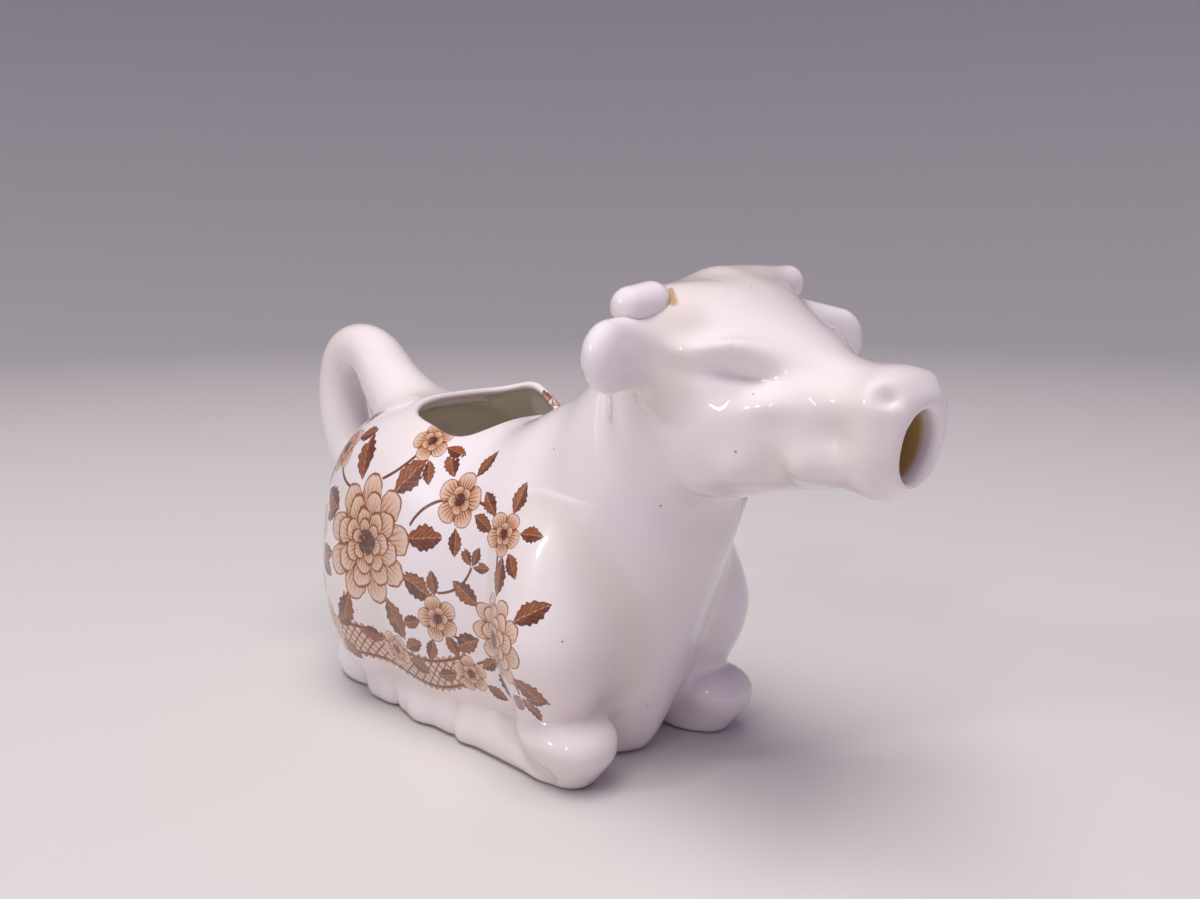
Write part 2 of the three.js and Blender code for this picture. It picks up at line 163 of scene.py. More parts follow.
def gap_to(rib_at, last, swell):
    """Makes the function that gives points' distance from a ribbed skin, negative inside. Bisection finds the
    rib whose plane holds a point of the mid-plane, for a grid of points, and one more step mends it for any
    point. The distance is that from the rib's middle less its reach, over sqrt(1 + slope^2)."""
    axes = [np.arange(low, high) for low, high in zip(SKIN_GRID_LOW, SKIN_GRID_HIGH)]
    grid = np.stack(np.meshgrid(*axes, indexing="ij"), -1)

    def stand(rib, flat):
        """How far up a rib from its middle points of the mid-plane lie, and how far ahead of its plane."""
        middle, up, _ = rib_axis(rib)
        off = flat - middle
        return np.sum(off * up, -1), off[..., 0] * up[..., 1] - off[..., 1] * up[..., 0]

    before, after = np.zeros(grid.shape[:2]), np.full(grid.shape[:2], float(last))
    for _ in range(26):
        middle = (before + after) / 2
        ahead = stand(rib_at(middle), grid)[1] > 0
        before, after = np.where(ahead, middle, before), np.where(ahead, after, middle)
    places = (before + after) / 2

    def gap(points):
        flat, across = points[..., ::2], points[..., 1]
        spot = np.clip(flat - SKIN_GRID_LOW, 0, np.array(places.shape) - 1.001)
        cell = spot.astype(int)
        i, j = cell[..., 0], cell[..., 1]
        a, b = spot[..., 0] - i, spot[..., 1] - j
        near = (1 - b) * places[i, j] + b * places[i, j + 1]
        far = (1 - b) * places[i + 1, j] + b * places[i + 1, j + 1]
        place = (1 - a) * near + a * far
        low, high = np.maximum(place - RIB_STEP, 0), np.minimum(place + RIB_STEP, last)
        behind, ahead = stand(rib_at(low), flat)[1], stand(rib_at(high), flat)[1]
        place = np.clip(low + (high - low) * behind / np.maximum(behind - ahead, TINY), 0, last)
        rib = rib_at(place)
        rise, ahead = stand(rib, flat)
        angle = np.arctan2(rise, across)
        out = np.hypot(rise, across) - rib_reach(rib, angle, swell(rib_point(rib, angle)))
        before, after = rib_at(place - RIB_STEP), rib_at(place + RIB_STEP)
        moved = np.linalg.norm(rib_axis(after)[0] - rib_axis(before)[0], axis=-1)
        slope = (rib_reach(after, angle) - rib_reach(before, angle)) / np.maximum(moved, 1e-3)
        out = out / np.sqrt(1 + slope**2)
        return np.where(np.abs(ahead) > PAST_END, np.hypot(np.maximum(out, 0), ahead), out)

    return gap


def smooth_least(a, b, width):
    """The smaller of two values, with the corner between them rounded over a width: min - h^3 / (6 width^2),
    where h is what is left of the width past the difference of the two."""
    left = np.maximum(width - np.abs(a - b), 0)
    return np.minimum(a, b) - left**3 / (6 * width**2)


def quads(rows, columns):
    """Corners of the quads of a grid that closes round its rows, with points numbered row by row."""
    row, column = np.meshgrid(np.arange(rows - 1), np.arange(columns), indexing="ij")
    right = (column + 1) % columns
    near, far = row * columns, (row + 1) * columns
    return np.stack([near + column, near + right, far + right, far + column], -1)


def fan(ring, centre):
    """Triangles from a ring of point numbers to one more point."""
    return np.stack([ring, np.roll(ring, -1), np.full_like(ring, centre)], -1)


def add_piece(name, points, faces, pool=0.0, inside=0.0, glue=0.0):
    """A mesh of points in millimetres and a list of face arrays, with doubles merged and faces smooth. Pool
    is the share of each point in the fillet of slip round a joint, where the glaze runs thicker, inside the
    share in the hollow, and glue the share in the glue of an old repair."""
    mesh = bpy.data.meshes.new(name)
    mesh.from_pydata((points * MM).tolist(), [], [face for group in faces for face in group.tolist()])
    for mark, share in (("pool", pool), ("inside", inside), ("glue", glue)):
        values = np.zeros(len(points)) + share
        mesh.attributes.new(mark, "FLOAT", "POINT").data.foreach_set("value", values)
    shaped = bmesh.new()
    shaped.from_mesh(mesh)
    bmesh.ops.remove_doubles(shaped, verts=shaped.verts, dist=2e-6)
    bmesh.ops.dissolve_degenerate(shaped, edges=shaped.edges, dist=1e-6)
    bmesh.ops.recalc_face_normals(shaped, faces=shaped.faces)
    shaped.to_mesh(mesh)
    shaped.free()
    mesh.shade_smooth()
    mesh.set_sharp_from_angle(angle=SHARP_ANGLE)
    piece = bpy.data.objects.new(name, mesh)
    bpy.context.scene.collection.objects.link(piece)
    return piece


def rim_distance(points):
    """Level distance outwards from the crest of the rim: (|x / a|^n + |y / b|^n)^(1 / n) less 1, times a."""
    share_x = np.abs(points[..., 0] - FILL_X) / CREST_HALF_LENGTH
    share_y = np.abs(points[..., 1]) / CREST_HALF_WIDTH
    far = (share_x**FILL_FULLNESS + share_y**FILL_FULLNESS) ** (1 / FILL_FULLNESS)
    return (far - 1) * CREST_HALF_LENGTH


trunk_rib = spline(TRUNK_RIBS)
trunk_gap = gap_to(trunk_rib, len(TRUNK_RIBS) - 1, lambda points: 0.0)


def trunk_rows():
    """Places of the trunk's rows, close together at the ends of the opening, where its outline turns across,
    and the numbers of the first and last row of the opening."""
    places = np.linspace(0, NECK_JOINT_RIB + NECK_TUCK_RIBS, 2000)
    turn = np.linspace(0, np.pi, OPENING_ROWS)
    opening = np.interp(FILL_X - CREST_HALF_LENGTH * np.cos(turn), trunk_rib(places)[:, 0], places)
    rump = opening[0] * np.linspace(0, 1, RUMP_ROWS + 1)[:-1] ** RUMP_CROWDING
    neck = np.linspace(opening[-1], NECK_JOINT_RIB, NECK_ROWS + 1)[1:]
    tuck = NECK_JOINT_RIB + np.array([0.1, 0.4, 1]) * NECK_TUCK_RIBS
    return np.concatenate([rump, opening, neck, tuck]), RUMP_ROWS, RUMP_ROWS + OPENING_ROWS - 1


def trunk_mesh():
    """The wall of the trunk as one grid: each row runs round the outside from one edge of the opening to the
    other, over the rim, back round the inside and over the other rim. Elsewhere the edges meet."""
    columns, over = TRUNK_COLUMNS, RIM_COLUMNS
    place, first_open, last_open = trunk_rows()
    rib = trunk_rib(place)
    share = np.clip(np.abs((rib[:, 0] - FILL_X) / CREST_HALF_LENGTH), 0, 1)
    edge_y = CREST_HALF_WIDTH * (1 - share**FILL_FULLNESS) ** (1 / FILL_FULLNESS)
    edge_up = rib_axis(rib)[2] * (1 - np.clip(edge_y / rib[:, 4], 0, 1) ** rib[:, 5]) ** (1 / rib[:, 5])
    edge = np.arctan2(edge_up, edge_y)
    angle = edge[:, None] - np.linspace(0, 1, columns) * (np.pi + 2 * edge[:, None])
    tuck = NECK_TUCK_DEPTH * np.clip((place - NECK_JOINT_RIB) / NECK_TUCK_RIBS * 10, 0, 1)
    outside = rib_point(rib[:, None], angle, -tuck[:, None])
    lift_x, lift_y, lift_length, lift_width, lift = RIM_LIFT
    lift = lift * np.exp(-(((outside[..., 0] - lift_x) / lift_length) ** 2
                           + ((outside[..., 1] - lift_y) / lift_width) ** 2))
    near_rim = np.exp(-(np.maximum(rim_distance(outside), 0) / RIM_REACH) ** 2) * (np.sin(angle) > 0)
    rise = RIM_RISE * near_rim + lift * np.maximum(np.sin(angle), 0)
    outside[..., 2] = -smooth_least(-outside[..., 2] - rise, 0, FOOT_ROUNDING)
    inside_place = np.interp(place, [0, place[first_open]], [HOLLOW_FROM_RIB, place[first_open]])
    inside_place = np.where(place > place[first_open], place, inside_place)
    inside = rib_point(trunk_rib(inside_place)[:, None], angle, (WALL - RIM_WALL) * near_rim - WALL)
    inside[..., 2] = np.maximum(inside[..., 2] + rise, HOLLOW_FLOOR_Z)
    inside = inside[:, ::-1]

    def roll(outer, inner):
        """Half a circle from the outer edge to the inner one, about the wall's middle, into the opening."""
        half = (outer - inner) / 2
        share_y = np.abs(outer[:, 1]) / CREST_HALF_WIDTH
        into_x = -np.sign(outer[:, 0] - FILL_X) * share ** (FILL_FULLNESS - 1) / CREST_HALF_LENGTH
        into_y = -np.sign(outer[:, 1]) * share_y ** (FILL_FULLNESS - 1) / CREST_HALF_WIDTH
        into = np.stack([into_x, into_y, np.zeros(len(outer))], -1)
        into -= half * (np.sum(into * half, -1) / np.sum(half * half, -1))[:, None]
        into *= (np.linalg.norm(half, axis=-1) / np.maximum(np.linalg.norm(into, axis=-1), TINY))[:, None]
        turn = np.linspace(0, np.pi, over + 2)[1:-1, None]
        return ((outer + inner) / 2)[:, None] + np.cos(turn) * half[:, None] + np.sin(turn) * into[:, None]

    right = roll(outside[:, -1], inside[:, 0])
    left = roll(outside[:, 0], inside[:, -1])[:, ::-1]
    grid = np.concatenate([outside, right, inside, left], 1)
    rows, ring = grid.shape[:2]
    column = np.arange(ring)
    on_rim = ((column >= columns - 1) & (column < columns + over)) | (column >= 2 * columns + over - 1)
    row = np.arange(rows - 1)
    in_opening = (row >= first_open) & (row < last_open)
    faces = quads(rows, ring)[~on_rim[None] | in_opening[:, None]]
    outer_end = (rows - 1) * ring + np.arange(columns)
    inner_end = (rows - 1) * ring + columns + over + np.arange(columns)[::-1]
    neck = np.stack([outer_end[:-1], outer_end[1:], inner_end[1:], inner_end[:-1]], -1)
    rump = [grid[0, :columns].mean(0), grid[0, columns + over:2 * columns + over].mean(0)]
    points = np.concatenate([grid.reshape(-1, 3), rump])
    rump_outer = fan(np.arange(columns - 1), len(points) - 2)
    rump_inner = fan(columns + over + np.arange(columns - 1), len(points) - 1)
    fade = np.linspace(0, 1, over) ** 3
    in_hollow = np.concatenate([np.zeros(columns), fade, np.ones(columns), fade[::-1]])
    in_hollow = np.concatenate([np.tile(in_hollow, rows), [0, 1]])
    return points, [faces, neck, rump_outer, rump_inner], 0.0, in_hollow


trunk = add_piece("trunk_wall", *trunk_mesh())
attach(trunk, "root")
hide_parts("trunk")

# Head: the upper neck, the skull and the muzzle, slip-cast in one hollow piece and stuck on with slip.
# Its mouth is the spout. The features are soft, as the mould was worn and the glaze is thick.
# Ribs from the joint to the muzzle: brow x, brow z, jaw x, jaw z, half width, fullness above and below.
HEAD_RIBS = [
    *trunk_rib(NECK_JOINT_RIB + np.array([-0.5, 0, 0.5])),
    [32.2, 92.2, 45.2, 54.6, 19.3, 2.5, 2.2],
    [35.2, 96.4, 48.6, 58.6, 19.4, 2.8, 2.6],
    [39.5, 97.8, 52, 59.8, 20.2, 3.0, 3],
    [45, 98.4, 55.5, 60.2, 20.8, 2.9, 3],
    [51.5, 97.8, 59, 60.9, 20.2, 2.6, 2.7],
    [58, 94.6, 62.5, 61.9, 18.4, 2.4, 2.4],
    [65, 90.6, 67, 62.8, 15.5, 2.2, 2.2],
    [71.5, 87.0, 72, 63.5, 13, 2.2, 2.2],
    [77.3, 85.6, 76.6, 63.9, 11.6, 2.2, 2.2],
    [82.2, 85.6, 80.4, 63.4, 11.4, 2.3, 2.3],
    [85.6, 84.5, 82.9, 63.5, 10.6, 2.3, 2.3],
    [87.6, 82.2, 84.8, 64.8, 9.0, 2.2, 2.2],
]
HEAD_FROM_RIB = 1
# Forms of each half of the face: x, y, z, half length, half width, half height and how far they stand out.
FACE = [
    [44.0, 15.0, 96.0, 7.0, 5, 5.0, 1.1],  # corner of the poll
    [60.0, 14.0, 87.2, 8.5, 5, 1.9, 2.5],  # brow
    [61.0, 15.4, 84.4, 7.0, 5.5, 1.9, -2.8],  # socket, deep under the brow
    [61.6, 15.4, 81.8, 7.4, 5.5, 3.8, -2.0],  # socket, shallow below
    [67.5, 14.0, 79.0, 4.4, 4, 2.5, 1.5],  # bone under the eye
    [63.0, 16.4, 67.4, 4.2, 5, 3.8, 2.2],  # cheek
    [73.2, 12.8, 68.6, 3.2, 4, 3.6, 2.3],  # cheek, front
    [68.4, 15.0, 67.4, 2.2, 4, 3.6, -0.9],  # fold between the cheeks
    [77.6, 12.0, 74.8, 3.6, 4, 4.2, -2.1],  # hollow behind the muzzle
    [84.6, 8.3, 80.8, 3.6, 4.2, 3.6, 1.6],  # wing of the nose
    [85.9, 8.1, 81.1, 1.7, 2.0, 1.5, -1.9],  # nostril
    [74.0, 9.0, 86.0, 5, 4, 3, -0.9],  # side of the bridge
    [54.5, 17.0, 91.0, 4, 5, 3, -1.0],  # temple
]
# The mouth: half sizes, how far it lies below the ribs' middles, and the ribs between which it widens.
MOUTH_HALF_WIDTH = 5.2
MOUTH_HALF_HEIGHT = 6.0
MOUTH_DROP = 1.0
BORE_RIB = 12.0
HOLLOW_RIB = 9.0
LIP_ROLL = 1.4
LIP_REACH = 4.0
LIP_RIBS = 0.7
HEAD_COLUMNS, OUTER_ROWS, LIP_ROWS, INNER_ROWS = 220, 190, 16, 50
head_rib = spline(HEAD_RIBS)
head_last = len(HEAD_RIBS) - 1


def face_swell(points):
    """How far the face stands out of the ribs: each form is a bump h exp(-(x/a)^2 - (y/b)^2 - (z/c)^2)."""
    form = np.array(FACE)
    place = np.stack([points[..., 0], np.abs(points[..., 1]), points[..., 2]], -1)
    apart = (place[..., None, :] - form[:, :3]) / form[:, 3:6]
    return np.sum(form[:, 6] * np.exp(-np.sum(apart**2, -1)), -1)


def ease(value, low, high):
    """0 up to a low value, 1 from a high one on, and between 3 s^2 - 2 s^3 at the share s of the way."""
    share = np.clip((value - low) / (high - low), 0, 1)
    return share * share * (3 - 2 * share)


def head_mesh():
    """A tube closed in both directions: along the outside from the joint to the muzzle, over the lips on a
    curve with four poles, back along the mouth into the hollow, and across the wall at the joint."""
    angle = np.linspace(0, 2 * np.pi, HEAD_COLUMNS, endpoint=False)
    rib = head_rib(np.linspace(HEAD_FROM_RIB, head_last, OUTER_ROWS))[:, None]
    outside = rib_point(rib, angle, face_swell(rib_point(rib, angle)))
    inner_place = np.linspace(head_last - LIP_RIBS, HEAD_FROM_RIB, INNER_ROWS)
    rib = head_rib(inner_place)[:, None]
    wall = rib_point(rib, angle, np.minimum(face_swell(rib_point(rib, angle)), 0) - WALL)
    out = reach(angle, MOUTH_HALF_WIDTH, MOUTH_HALF_HEIGHT, 2)
    middle, up, _ = rib_axis(rib)
    flat = middle + (out * np.sin(angle) - MOUTH_DROP)[:, None] * up
    across = np.broadcast_to(out * np.cos(angle), flat.shape[:2])
    bore = np.stack([flat[..., 0], across, flat[..., 1]], -1)
    inside = bore + (wall - bore) * (1 - ease(inner_place, HOLLOW_RIB, BORE_RIB))[:, None, None]
    end = head_rib(head_last)
    ahead = np.array([end[1] - end[3], 0, end[2] - end[0]])
    ahead = ahead / np.linalg.norm(ahead)
    onward = outside[-1] - outside[-3]
    onward = onward / np.linalg.norm(onward, axis=-1, keepdims=True)
    turn = np.linspace(0, 1, LIP_ROWS + 2)[1:-1, None, None]
    left = 1 - turn
    lips = (left**3 * outside[-1] + 3 * left**2 * turn * (outside[-1] + LIP_ROLL * onward)
            + 3 * left * turn**2 * (inside[0] + LIP_REACH * ahead) + turn**3 * inside[0])
    grid = np.concatenate([outside, lips, inside])
    faces = quads(len(grid) + 1, HEAD_COLUMNS) % (len(grid) * HEAD_COLUMNS)
    # The mouth's golden colour comes in over two rows past the lips. It is partly a stain and partly painted
    # shade deeper in the spout.
    depth = np.clip(np.arange(len(grid)) - OUTER_ROWS - LIP_ROWS, 0, 2) / 2
    return grid.reshape(-1, 3), [faces.reshape(-1, 4)], 0.0, np.repeat(depth, HEAD_COLUMNS)


head_gap = gap_to(head_rib, head_last, face_swell)
head = add_piece("head_and_mouth", *head_mesh())
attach(head, "root")
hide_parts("head")

# Tail: a solid rope of clay, thrown up from the back and bent down to the rump, which is the handle.
# It is stuck to the trunk with slip at both ends, and the slip is smoothed to a wide fillet.
TAIL_RADIUS = 6.2
# Its path in the mid-plane, from the back to the rump: x, z and the share of the radius.
TAIL_PATH = [
    [-48.5, 62, 1.36],
    [-54, 65.2, 1.36],
    [-60.5, 70.2, 1.2],
    [-66.5, 76, 1.06],
    [-73.5, 78, 1],
    [-80, 75.2, 1],
    [-83.3, 67, 1],
    [-82.6, 57.5, 1],
    [-78, 48.2, 1],
    [-69.5, 42, 1.03],
    [-60, 38.5, 1.1],
]
TAIL_FILLET = 10.0
# How far a piece's end reaches into the wall that carries it, and how far its fillet dips under the skin.
ROOT_DEPTH = 2.4
FILLET_DIP = 0.02
# The glaze pools in the part of a fillet next to the piece: the fillet's width over that part's.
POOL_NARROWING = 1.6
# The ribs whose outline of back and rump carries the tail, and the box and pitch of the tail's mesh.
BACK_TO_RIB, RUMP_TO_RIB = 7, 4
TAIL_BOX = (-91, -15, 26), (-33, 15, 86)
TAIL_PITCH = 0.8
SLOPE_STEP = 0.03
tail_row = spline(TAIL_PATH)


def level_mesh(field, box, pitch):
    """The surface where a field is zero, as quads round the edges of a grid of cubes that it crosses. Each
    cube it passes has one point, the mean of its crossings, which four Newton steps p - f g / g.g bring
    onto it."""
    grid = np.stack(np.meshgrid(*[np.arange(a, b + pitch, pitch) for a, b in zip(*box)], indexing="ij"), -1)
    value = field(grid)
    size = value.shape
    cubes = tuple(length - 1 for length in size)
    total, count = np.zeros((*cubes, 3)), np.zeros(cubes)
    number = np.arange(count.size).reshape(cubes)
    faces = []
    for axis in range(3):
        near, far = [slice(None)] * 3, [slice(None)] * 3
        near[axis], far[axis] = slice(0, -1), slice(1, None)
        first, second = value[tuple(near)], value[tuple(far)]
        crosses = (first < 0) != (second < 0)
        share = np.where(crosses, first / np.where(crosses, first - second, 1), 0)
        place = grid[tuple(near)] + share[..., None] * pitch * np.eye(3)[axis]
        one, two = [other for other in range(3) if other != axis]
        ring = []
        for i, j in ((0, 0), (0, 1), (1, 1), (1, 0)):
            part, cube, inner = [slice(None)] * 3, [slice(None)] * 3, [slice(None)] * 3
            part[one], part[two] = slice(i, cubes[one] + i), slice(j, cubes[two] + j)
            cube[one], cube[two] = slice(1 - i, cubes[one] - i), slice(1 - j, cubes[two] - j)
            inner[one], inner[two] = slice(1, -1), slice(1, -1)
            part, cube, inner = tuple(part), tuple(cube), tuple(inner)
            total += np.where(crosses[part][..., None], place[part], 0)
            count += crosses[part]
            ring.append(number[cube][crosses[inner]])
        faces.append(np.stack(ring, -1))
    used = count.ravel() > 0
    points = total.reshape(-1, 3)[used] / count.ravel()[used, None]
    order = np.cumsum(used) - 1
    for _ in range(4):
        ahead = [field(points + SLOPE_STEP * way) for way in np.eye(3)]
        behind = [field(points - SLOPE_STEP * way) for way in np.eye(3)]
        slope = (np.stack(ahead, -1) - np.stack(behind, -1)) / (2 * SLOPE_STEP)
        move = field(points) / np.maximum(np.sum(slope**2, -1), 0.05)
        points = points - np.clip(move, -pitch / 2, pitch / 2)[:, None] * slope
    return points, [order[np.concatenate(faces)]]


def joined(gap, own, width):
    """The field of a piece stuck on a host, of which it takes only the outer part of the wall."""
    skin = smooth_least(gap + FILLET_DIP, own, width)
    return np.maximum(np.maximum(skin, -gap - ROOT_DEPTH), own - width)


def pool_share(own, width):
    """Share of a point that lies in a fillet: nothing where the piece itself ends and where the fillet runs
    out, and between them the half wave sin(pi s)."""
    return np.sin(np.pi * np.clip(POOL_NARROWING * own / width, 0, 1))


def from_line(points, start, end):
    """Where a straight line comes nearest to points, as a share of its length, and the distance there."""
    way = np.array(end) - start
    off = points - start
    run = np.clip(off @ way / (way @ way), 0, 1)
    return run, np.linalg.norm(off - run[..., None] * way, axis=-1)


def tail_own(points):
    """Distance from a chain of short cones along the tail's path: for each, the distance from the nearest
    point of its axis less the radius there, and of all of them the least."""
    rows = tail_row(np.linspace(0, len(TAIL_PATH) - 1, 65))
    axis = np.stack([rows[:, 0], np.zeros(len(rows)), rows[:, 1]], -1)
    least = np.full(points.shape[:-1], np.inf)
    for start, end, share, next_share in zip(axis[:-1], axis[1:], rows[:-1, 2], rows[1:, 2]):
        run, apart = from_line(points, start, end)
        least = np.minimum(least, apart - TAIL_RADIUS * (share + run * (next_share - share)))
    return least


def tail_host(points):
    """Distance from the trunk round the mid-plane: that from its ribs or from the outline of the back and
    rump, whichever is more, since the first falls short away from the rump's blunt end."""
    outline = np.concatenate([trunk_rib(np.linspace(BACK_TO_RIB, 0, 50))[:, 0:2],
                              trunk_rib(np.linspace(0, RUMP_TO_RIB, 24))[:, 2:4]])
    least = np.full(points.shape[:-1], np.inf)
    for start, end in zip(outline[:-1], outline[1:]):
        least = np.minimum(least, from_line(points[..., ::2], start, end)[1])
    gap = trunk_gap(points)
    return np.where(trunk_gap(points * [1, 0, 1]) > 0, np.maximum(gap, least), gap)


def tail_field(points):
    """The rope and its two fillets, kept clear of the opening in the back."""
    return np.maximum(joined(tail_host(points), tail_own(points), TAIL_FILLET), -rim_distance(points))


points, faces = level_mesh(tail_field, TAIL_BOX, TAIL_PITCH)
tail = add_piece("tail_loop", points, faces, pool_share(tail_own(points), TAIL_FILLET))
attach(tail, "root")
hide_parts("tail_handle")

# Ears: two solid lobes of clay, pressed hollow in front with a thumb and stuck to the sides of the head.
# The left one hangs a little lower.
# Root and tip of each, with y outwards.
LEFT_EAR = [43.2, 13.5, 90.0], [51.2, 37.8, 84.2]
RIGHT_EAR = [43.2, 13.5, 87.0], [49.2, 36.4, 86.6]
EAR_HALF_HEIGHT = 6.2
EAR_HALF_THICKNESS = 4.2
EAR_DISH = 1.2
EAR_DISH_FALL = 1.5
EAR_FRONT_FILLET = 14.0
EAR_BACK_FILLET = 3.0
EAR_BOX = (34, 0, 68), (68, 41, 108)
EAR_PITCH = 0.65
# A drop of old glue on the right ear's fillet, where the horn over it was mended: its low and high end, the
# half width at the low end and the share of it at the high end.
GLUE_DROP = [[49.4, 17.1, 94.9], [46.9, 14.9, 97.2]]
GLUE_DROP_HALF_WIDTH = 1.1
GLUE_DROP_TAPER = 0.5


def oval_gap(points, middle, half_axes):
    """Distance from an oval body, near enough close to it: k (k - 1) / m, for the length k of the way from
    its middle divided by the half axes and the length m of it divided by them twice."""
    off = points - np.array(middle)
    once = np.linalg.norm(off / np.array(half_axes), axis=-1)
    twice = np.maximum(np.linalg.norm(off / np.square(half_axes), axis=-1), TINY)
    return once * (once - 1) / twice


def ear_own(points, root, tip):
    """Distance from a bar with round ends from the root to the tip, flattened front to back and dished in
    front, and the width of the fillet, which is wide in front."""
    along = np.array(tip) - root
    length = np.linalg.norm(along)
    along = along / length
    front = np.array([along[1], -along[0], 0]) / np.hypot(along[0], along[1])
    off = points - root
    run = off @ along
    past = run - np.clip(run, 0, length - EAR_HALF_HEIGHT)
    rise, ahead = off @ np.cross(front, along), off @ front
    dish = EAR_DISH * np.exp(-EAR_DISH_FALL * (rise**2 + past**2) / EAR_HALF_HEIGHT**2)
    ahead = ahead + dish * np.clip(ahead / 2 + 0.5, 0, 1)
    half_axes = [EAR_HALF_HEIGHT, EAR_HALF_HEIGHT, EAR_HALF_THICKNESS]
    own = oval_gap(np.stack([past, rise, ahead], -1), [0, 0, 0], half_axes)
    turn = ease(ahead, -1.5 * EAR_HALF_THICKNESS, 1.5 * EAR_HALF_THICKNESS)
    return own, EAR_BACK_FILLET + (EAR_FRONT_FILLET - EAR_BACK_FILLET) * turn


for side, name, ends in ((1, "left_ear", LEFT_EAR), (-1, "right_ear", RIGHT_EAR)):
    points, faces = level_mesh(lambda points: joined(head_gap(points), *ear_own(points, *ends)),
                               EAR_BOX, EAR_PITCH)
    run, apart = from_line(points, *GLUE_DROP)
    half = GLUE_DROP_HALF_WIDTH * (1 - (1 - GLUE_DROP_TAPER) * run)
    glue = np.exp(-((apart / half) ** 2)) * (side < 0)
    pool = pool_share(*ear_own(points, *ends))
    ear = add_piece(name + "_lobe", points * [1, side, 1], faces, pool, 0.0, glue)
    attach(ear, "root")
    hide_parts(name)

# Horns: two short, blunt rolls of clay, stuck to the poll. The left one stands higher and runs into the poll.
# The right one was broken off once and glued back on, which leaves a notch and yellow glue at its root.
# Root, tip and radius at the root of each, with y outwards.
LEFT_HORN = [41.6, 5.0, 94.4], [41.9, 28.6, 97.2], 4.7
RIGHT_HORN = [45.6, 18.6, 94.9], [45.0, 26.6, 94.2], 3.7
HORN_TIP_RADIUS = 3.4
LEFT_HORN_FILLET = 12.0
RIGHT_HORN_FILLET = 1.0
HORN_BOX = (26, -12, 80), (60, 34, 108)
HORN_PITCH = 0.6
# The line of glue on the right horn: its height over the skin, its half width and where it ends.
GLUE_HEIGHT = 0.3
GLUE_HALF_WIDTH = 0.7
GLUE_END_Y = 19.5
GLUE_FADE = 2.0


def horn_own(points, root, tip, thick):
    """Distance from a roll that thins evenly from the root to the ball at its tip."""
    way = np.array(tip) - root
    length = np.linalg.norm(way)
    way = way / length
    run = np.clip((points - root) @ way, 0, length - HORN_TIP_RADIUS)
    radius = thick + (HORN_TIP_RADIUS - thick) * run / (length - HORN_TIP_RADIUS)
    return np.linalg.norm(points - root - run[..., None] * way, axis=-1) - radius


for side, name, roll, width in ((1, "left_horn", LEFT_HORN, LEFT_HORN_FILLET),
                                (-1, "right_horn", RIGHT_HORN, RIGHT_HORN_FILLET)):
    points, faces = level_mesh(lambda points: joined(head_gap(points), horn_own(points, *roll), width),
                               HORN_BOX, HORN_PITCH)
    skin = smooth_least(head_gap(points), *ear_own(points, *RIGHT_EAR))
    glue = np.exp(-(((skin - GLUE_HEIGHT) / GLUE_HALF_WIDTH) ** 2))
    glue = glue * np.clip((GLUE_END_Y - points[:, 1]) / GLUE_FADE, 0, 1) * (side < 0)
    pool = pool_share(horn_own(points, *roll), width)
    horn = add_piece(name + "_roll", points * [1, side, 1], faces, pool, 0.0, glue)
    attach(horn, "root")
    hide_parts(name)

# Legs: each a shoulder or haunch with its folded shank, pressed in a mould and stuck to the trunk with slip.
# Knees, hocks and hooves are soft lumps in a low band along the foot. The left knee lies further out.
FOOT_HALF_WIDTH = 25.2
SHANK_HALF_WIDTH = 5.2
SHANK_HALF_HEIGHT = 6.2
SHANK_Z = 3.75
SHANK_END = 6.0
SHANK_Y = FOOT_HALF_WIDTH - SHANK_HALF_WIDTH
LEFT_KNEE_X = 28.0
RIGHT_KNEE_X = 25.5
FORE_SHANK_X = -8.0
# Oval forms: the middle and the half axes.
FORE_HOOF = [-2.8, 20.2, 3], [5.2, 5.3, 6]
HIND_HOOF = [-18.6, 20.8, 3], [6.5, 5.3, 6]
HOCK = [-48.0, 17.0, 4.8], [11.5, 6.6, 7.8]
HAUNCH = [-36, 21.5, 29], [16, 11, 24]
# The hind shank lies in two lobes along the foot, each from x to x. The front one runs under the fore hoof.
HIND_SHANK = [[-42.0, -26.0], [-30.0, -3.0]]
# Shoulder and forearm from the table up: x from the knee, z, half length, half width, y inwards.
FOREARM = [
    [-5.5, -2, 7, 5, 2],
    [-5.5, 5, 8, 6, 2],
    [-5.5, 10, 8.2, 6.8, 2],
    [-5.5, 15, 9, 7.6, 1.5],
    [-5, 20, 10.6, 9.2, 0.8],
    [-5, 28, 12.5, 11, 0.5],
    [-6.5, 38, 12, 10, 1.5],
    [-12, 50, 10, 7, 3.5],
    [-16, 58, 3, 3, 6],
]
# The knee, which stands out below the forearm with a ledge on top, in the same terms.
KNEE = [
    [-0.6, -2, 4.6, 4, 0.8],
    [-0.6, 1.5, 6, 5, 0.8],
    [0, 5.5, 8.6, 6.7, 0.7],
    [-0.4, 9, 10.4, 8.3, 0.4],
    [-1, 12, 9.4, 7.8, 0.5],
    [-1.8, 14.5, 5, 5, 1],
]
FOREARM_FULLNESS = 2.2
SHOULDER_ROUNDING = 14.0
KNEE_ROUNDING = 3.0
LEG_EDGE = 2.8
# Widths over which the forms of a leg run into each other.
KNEE_BLEND = 6.0
FOREARM_BLEND = 3.0
HOOF_BLEND = 2.0
HOCK_BLEND = 3.0
HAUNCH_BLEND = 5.0
# The crease between forearm and shank falls to the knee: x from the knee and z along it, and its sizes.
CREASE = [[-20, 14.5], [-16.5, 8.4], [-1, 2.6]]
CREASE_HALF_WIDTH = 1.6
CREASE_DEPTH = 1.4
CREASE_FROM_Y = 16
